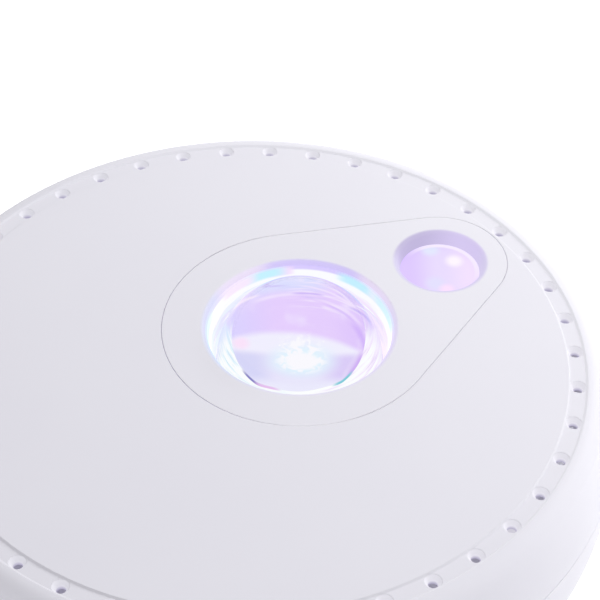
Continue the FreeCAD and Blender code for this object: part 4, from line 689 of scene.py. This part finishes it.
finishes = {
    material.name: material for material in (
        lavender_white_abs, panel_white_abs, white_nylon, acetal_natural, black_abs, grey_rubber,
        button_rubber, component_black, ptfe_washer, lead_pvc, led_phosphor, zinc_steel, ballast_steel,
        die_cast_aluminium, laser_brass, motor_can, nickel_contact, green_board, white_led_board,
        clear_acrylic, haze_print(), lit_collar(),
    )
}
special = {"top_cover": cover_abs(), "lens_panel": panel_abs(), "laser_window": lit_window()}
for row in frame["record"]["subparts"]:
    node = frame["nodes"][row["node"]]
    node.data.materials.clear()
    node.data.materials.append(special.get(row["node"], finishes[row["material_slot"]]))


# Pieces worked out as grids

# Columns and rings, and the angle in degrees from which an edge is sharp
COLUMNS = 288
ANGLES = 2 * math.pi * np.arange(COLUMNS) / COLUMNS
HOLLOW_RINGS = 60
DOME_RINGS = 90
PLATE_RINGS = 70
SHARP_ANGLE = 35

# Sizes of the rippled faces in millimetres, and the share of the radius over which the ripples fade out
LENS_HOLLOW = 0.9
LENS_HOLLOW_RADIUS = 15.0
LENS_RIPPLE = 0.006
PLATE_RIPPLE = 0.12
PLATE_GAP = 0.35
RIPPLE_FADE = 0.15


def turned_piece(name, centre, radii, heights, finish):
    """A closed surface turned about an upright axis, in millimetres.

    Row i and column j lie at radius radii[i], angle ANGLES[j] and height heights[i, j] round the centre.
    The first and the last row have radius 0, and each becomes one point."""
    x = centre[0] + np.outer(radii[1:-1], np.cos(ANGLES))
    y = centre[1] + np.outer(radii[1:-1], np.sin(ANGLES))
    rows = np.stack([x, y, heights[1:-1]], axis=-1).reshape(-1, 3)
    ends = [(*centre, heights[0].mean()), (*centre, heights[-1].mean())]
    points = np.concatenate([rows, ends]) * MM
    index = np.arange(len(rows)).reshape(-1, COLUMNS)
    across = np.roll(index, -1, axis=1)
    quads = np.stack([index[:-1], across[:-1], across[1:], index[1:]], axis=-1).reshape(-1, 4)
    first, last = len(rows), len(rows) + 1
    start = np.stack([np.full(COLUMNS, first), across[0], index[0]], axis=-1)
    end = np.stack([np.full(COLUMNS, last), index[-1], across[-1]], axis=-1)
    mesh = bpy.data.meshes.new(name)
    mesh.from_pydata(points.tolist(), [], quads.tolist() + start.tolist() + end.tolist())
    mesh.polygons.foreach_set("use_smooth", np.ones(len(mesh.polygons), dtype=bool))
    mesh.set_sharp_from_angle(angle=math.radians(SHARP_ANGLE))
    mesh.materials.append(finish)
    piece = bpy.data.objects.new(name, mesh)
    bpy.context.scene.collection.objects.link(piece)
    return piece


def ripples(radii, depth):
    """Moulded ripples: two sets of off-centre rings, whose waves bend each other, faded out near the rim.

    With a and b as the distances from the two centres, in millimetres, the height is
    depth (sin(2.1 a + 1.1 sin(0.55 b)) + 0.6 sin(1.4 b + sin(0.4 a))) (rim - radius) / (RIPPLE_FADE rim),
    where the last factor is held between 0 and 1."""
    x, y = np.outer(radii, np.cos(ANGLES)), np.outer(radii, np.sin(ANGLES))
    a, b = np.hypot(x + 9.0, y + 16.0), np.hypot(x - 20.0, y + 7.0)
    waves = np.sin(a * 2.1 + 1.1 * np.sin(b * 0.55)) + 0.6 * np.sin(b * 1.4 + np.sin(a * 0.4))
    rim = radii.max()
    return depth * waves * np.clip((rim - radii) / (RIPPLE_FADE * rim), 0, 1)[:, None]


def build_dome_lens():
    """The dome lens: a quarter circle turned about its axis, on a flange, over a shallow rippled hollow.

    The hollow's height is LENS_HOLLOW (1 - (radius / LENS_HOLLOW_RADIUS)^2)."""
    below = np.linspace(0.0, LENS_HOLLOW_RADIUS, HOLLOW_RINGS)
    hollow = LENS_HOLLOW * (1 - (below / LENS_HOLLOW_RADIUS) ** 2)
    under = LENS_UNDERSIDE + hollow[:, None] + ripples(below, LENS_RIPPLE)
    turn = np.linspace(0.0, math.pi / 2, DOME_RINGS)
    radii = np.concatenate([below, [FLANGE_RADIUS, FLANGE_RADIUS], DOME_RADIUS * np.cos(turn)])
    rest = np.concatenate([[LENS_UNDERSIDE, DOME_BASE], DOME_BASE + DOME_RADIUS * np.sin(turn)])
    heights = np.concatenate([under, np.tile(rest[:, None], (1, COLUMNS))])
    radii[-1] = 0.0
    return turned_piece("dome_lens", LENS, radii, heights, lens_acrylic())


def build_ripple_plate():
    """The still plate under the dome lens: a flat disc whose upper face is rippled.

    The upper face's height is LENS_UNDERSIDE - PLATE_GAP + ripples(radius, PLATE_RIPPLE)."""
    above = np.linspace(RIPPLE_RADIUS, 0.0, PLATE_RINGS)
    top = LENS_UNDERSIDE - PLATE_GAP + ripples(above, PLATE_RIPPLE)
    radii = np.concatenate([[0.0, RIPPLE_RADIUS], above])
    heights = np.concatenate([np.full((2, COLUMNS), RIPPLE_BOTTOM), top])
    return turned_piece("rippled_plate", LENS, radii, heights, lit_ripples())


for piece, node in ((build_dome_lens(), "projection_lens"), (build_ripple_plate(), "ripple_plate")):
    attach(piece, "head")
    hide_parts(node)


# Studio

def aimed(place, target, roll=0.0):
    """A placement whose -Z looks at the target."""
    forward = np.subtract(target, place) / np.linalg.norm(np.subtract(target, place))
    side = np.cross(forward, (0.0, 0.0, 1.0))
    side /= np.linalg.norm(side)
    upward = np.cross(side, forward)
    turned_side = math.cos(roll) * side + math.sin(roll) * upward
    turned_up = -math.sin(roll) * side + math.cos(roll) * upward
    axes = np.eye(4)
    axes[:3, 0], axes[:3, 1], axes[:3, 2], axes[:3, 3] = turned_side, turned_up, -forward, place
    return Matrix(axes.tolist())


# Soft lamps, each as name, place, target, size in metres and power in watts. The two low ones keep the head's
# sides, and its face when it is tilted, from going grey.
LAMPS = (
    ("key_softbox", (0.32, 0.26, 0.34), (0.03, 0.02, 0.06), 0.30, 1.62),
    ("front_softbox", (0.35, -0.60, 0.60), (0.02, 0.0, 0.05), 0.60, 0.67),
    ("side_softbox", (0.80, -0.15, 0.12), (0.07, -0.02, 0.055), 0.40, 0.60),
    ("low_front_softbox", (-0.10, -0.90, 0.10), (0.0, 0.0, 0.06), 0.50, 1.20),
)


def add_lamp(name, place, target, size, power):
    """A square, white, soft lamp that looks at a target."""
    lamp = bpy.data.lights.new(name, "AREA")
    lamp.shape, lamp.size, lamp.energy = "SQUARE", size, power
    holder = bpy.data.objects.new(name, lamp)
    holder.matrix_world = aimed(place, target)
    holder.visible_glossy = False
    holder.visible_transmission = False
    bpy.context.scene.collection.objects.link(holder)


def seen_white(tree):
    """1 for camera, glossy and transmission rays, which see the white surroundings."""
    path = add(tree, "LightPath").outputs
    links = {0: path["Is Camera Ray"], 1: path["Is Glossy Ray"]}
    links = {0: add(tree, "Math", {"operation": "MAXIMUM"}, links).outputs[0], 1: path["Is Transmission Ray"]}
    return add(tree, "Math", {"operation": "MAXIMUM"}, links).outputs[0]


def build_world():
    """A pale dome of light, seen as plain white."""
    world = bpy.data.worlds.new("studio")
    world.use_nodes = True
    tree = world.node_tree
    tree.nodes.clear()
    lighting = add(tree, "Background", {"Color": linear("#FCFBFF"), "Strength": 0.58}).outputs[0]
    seen = add(tree, "Background", {"Color": linear("#FFFFFF"), "Strength": 1.0}).outputs[0]
    mixed = add(tree, "MixShader", links={0: seen_white(tree), 1: lighting, 2: seen}).outputs[0]
    add(tree, "OutputWorld", links={"Surface": mixed})
    bpy.context.scene.world = world


# The floor's side in metres, and its gap below the pads in millimetres
FLOOR_SIZE = 4.0
FLOOR_GAP = 0.1


def build_floor():
    """A plain pale floor that the camera sees as white and that keeps the object's soft shadow.

    From below it is clear, so that the object's underside can be seen."""
    half, height = FLOOR_SIZE / 2, -FLOOR_GAP * MM
    mesh = bpy.data.meshes.new("floor")
    corners = [(-half, -half, height), (half, -half, height), (half, half, height), (-half, half, height)]
    mesh.from_pydata(corners, [], [(0, 1, 2, 3)])
    floor = bpy.data.objects.new("floor", mesh)
    bpy.context.scene.collection.objects.link(floor)
    material, tree, _ = new_material("pale_floor")
    matt = add(tree, "BsdfDiffuse", {"Color": linear("#F0F0F2")}).outputs[0]
    lifted = add(tree, "BsdfDiffuse", {"Color": linear("#FFFFFF")}).outputs[0]
    glow = add(tree, "Emission", {"Color": linear("#FFFFFF"), "Strength": 0.40}).outputs[0]
    bright = add(tree, "AddShader", links={0: lifted, 1: glow}).outputs[0]
    mixed = add(tree, "MixShader", links={0: seen_white(tree), 1: matt, 2: bright}).outputs[0]
    back = add(tree, "NewGeometry").outputs["Backfacing"]
    clear = add(tree, "BsdfTransparent").outputs[0]
    mixed = add(tree, "MixShader", links={0: back, 1: mixed, 2: clear}).outputs[0]
    mesh.materials.append(surface(material, tree, mixed))
    floor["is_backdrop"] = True


def build_camera():
    """The photograph's camera, from the ring of vents."""
    camera = bpy.data.cameras.new("photo_camera")
    camera.lens = PHOTO_FOCAL
    camera.sensor_width = PHOTO_SENSOR
    camera.sensor_fit = "HORIZONTAL"
    camera.clip_start = 0.01
    holder = bpy.data.objects.new("photo_camera", camera)
    elevation = math.radians(PHOTO_ELEVATION)
    forward = (0.0, math.cos(elevation), -math.sin(elevation))
    holder.matrix_world = aimed(PHOTO_PLACE, np.add(PHOTO_PLACE, forward), math.radians(PHOTO_ROLL))
    bpy.context.scene.collection.objects.link(holder)
    bpy.context.scene.camera = holder


build_world()
build_floor()
build_camera()
for lamp_row in LAMPS:
    add_lamp(*lamp_row)

bpy.context.scene.view_settings.view_transform = "Standard"

[[list(corner) for corner in box] for box in (cad_box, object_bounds())]
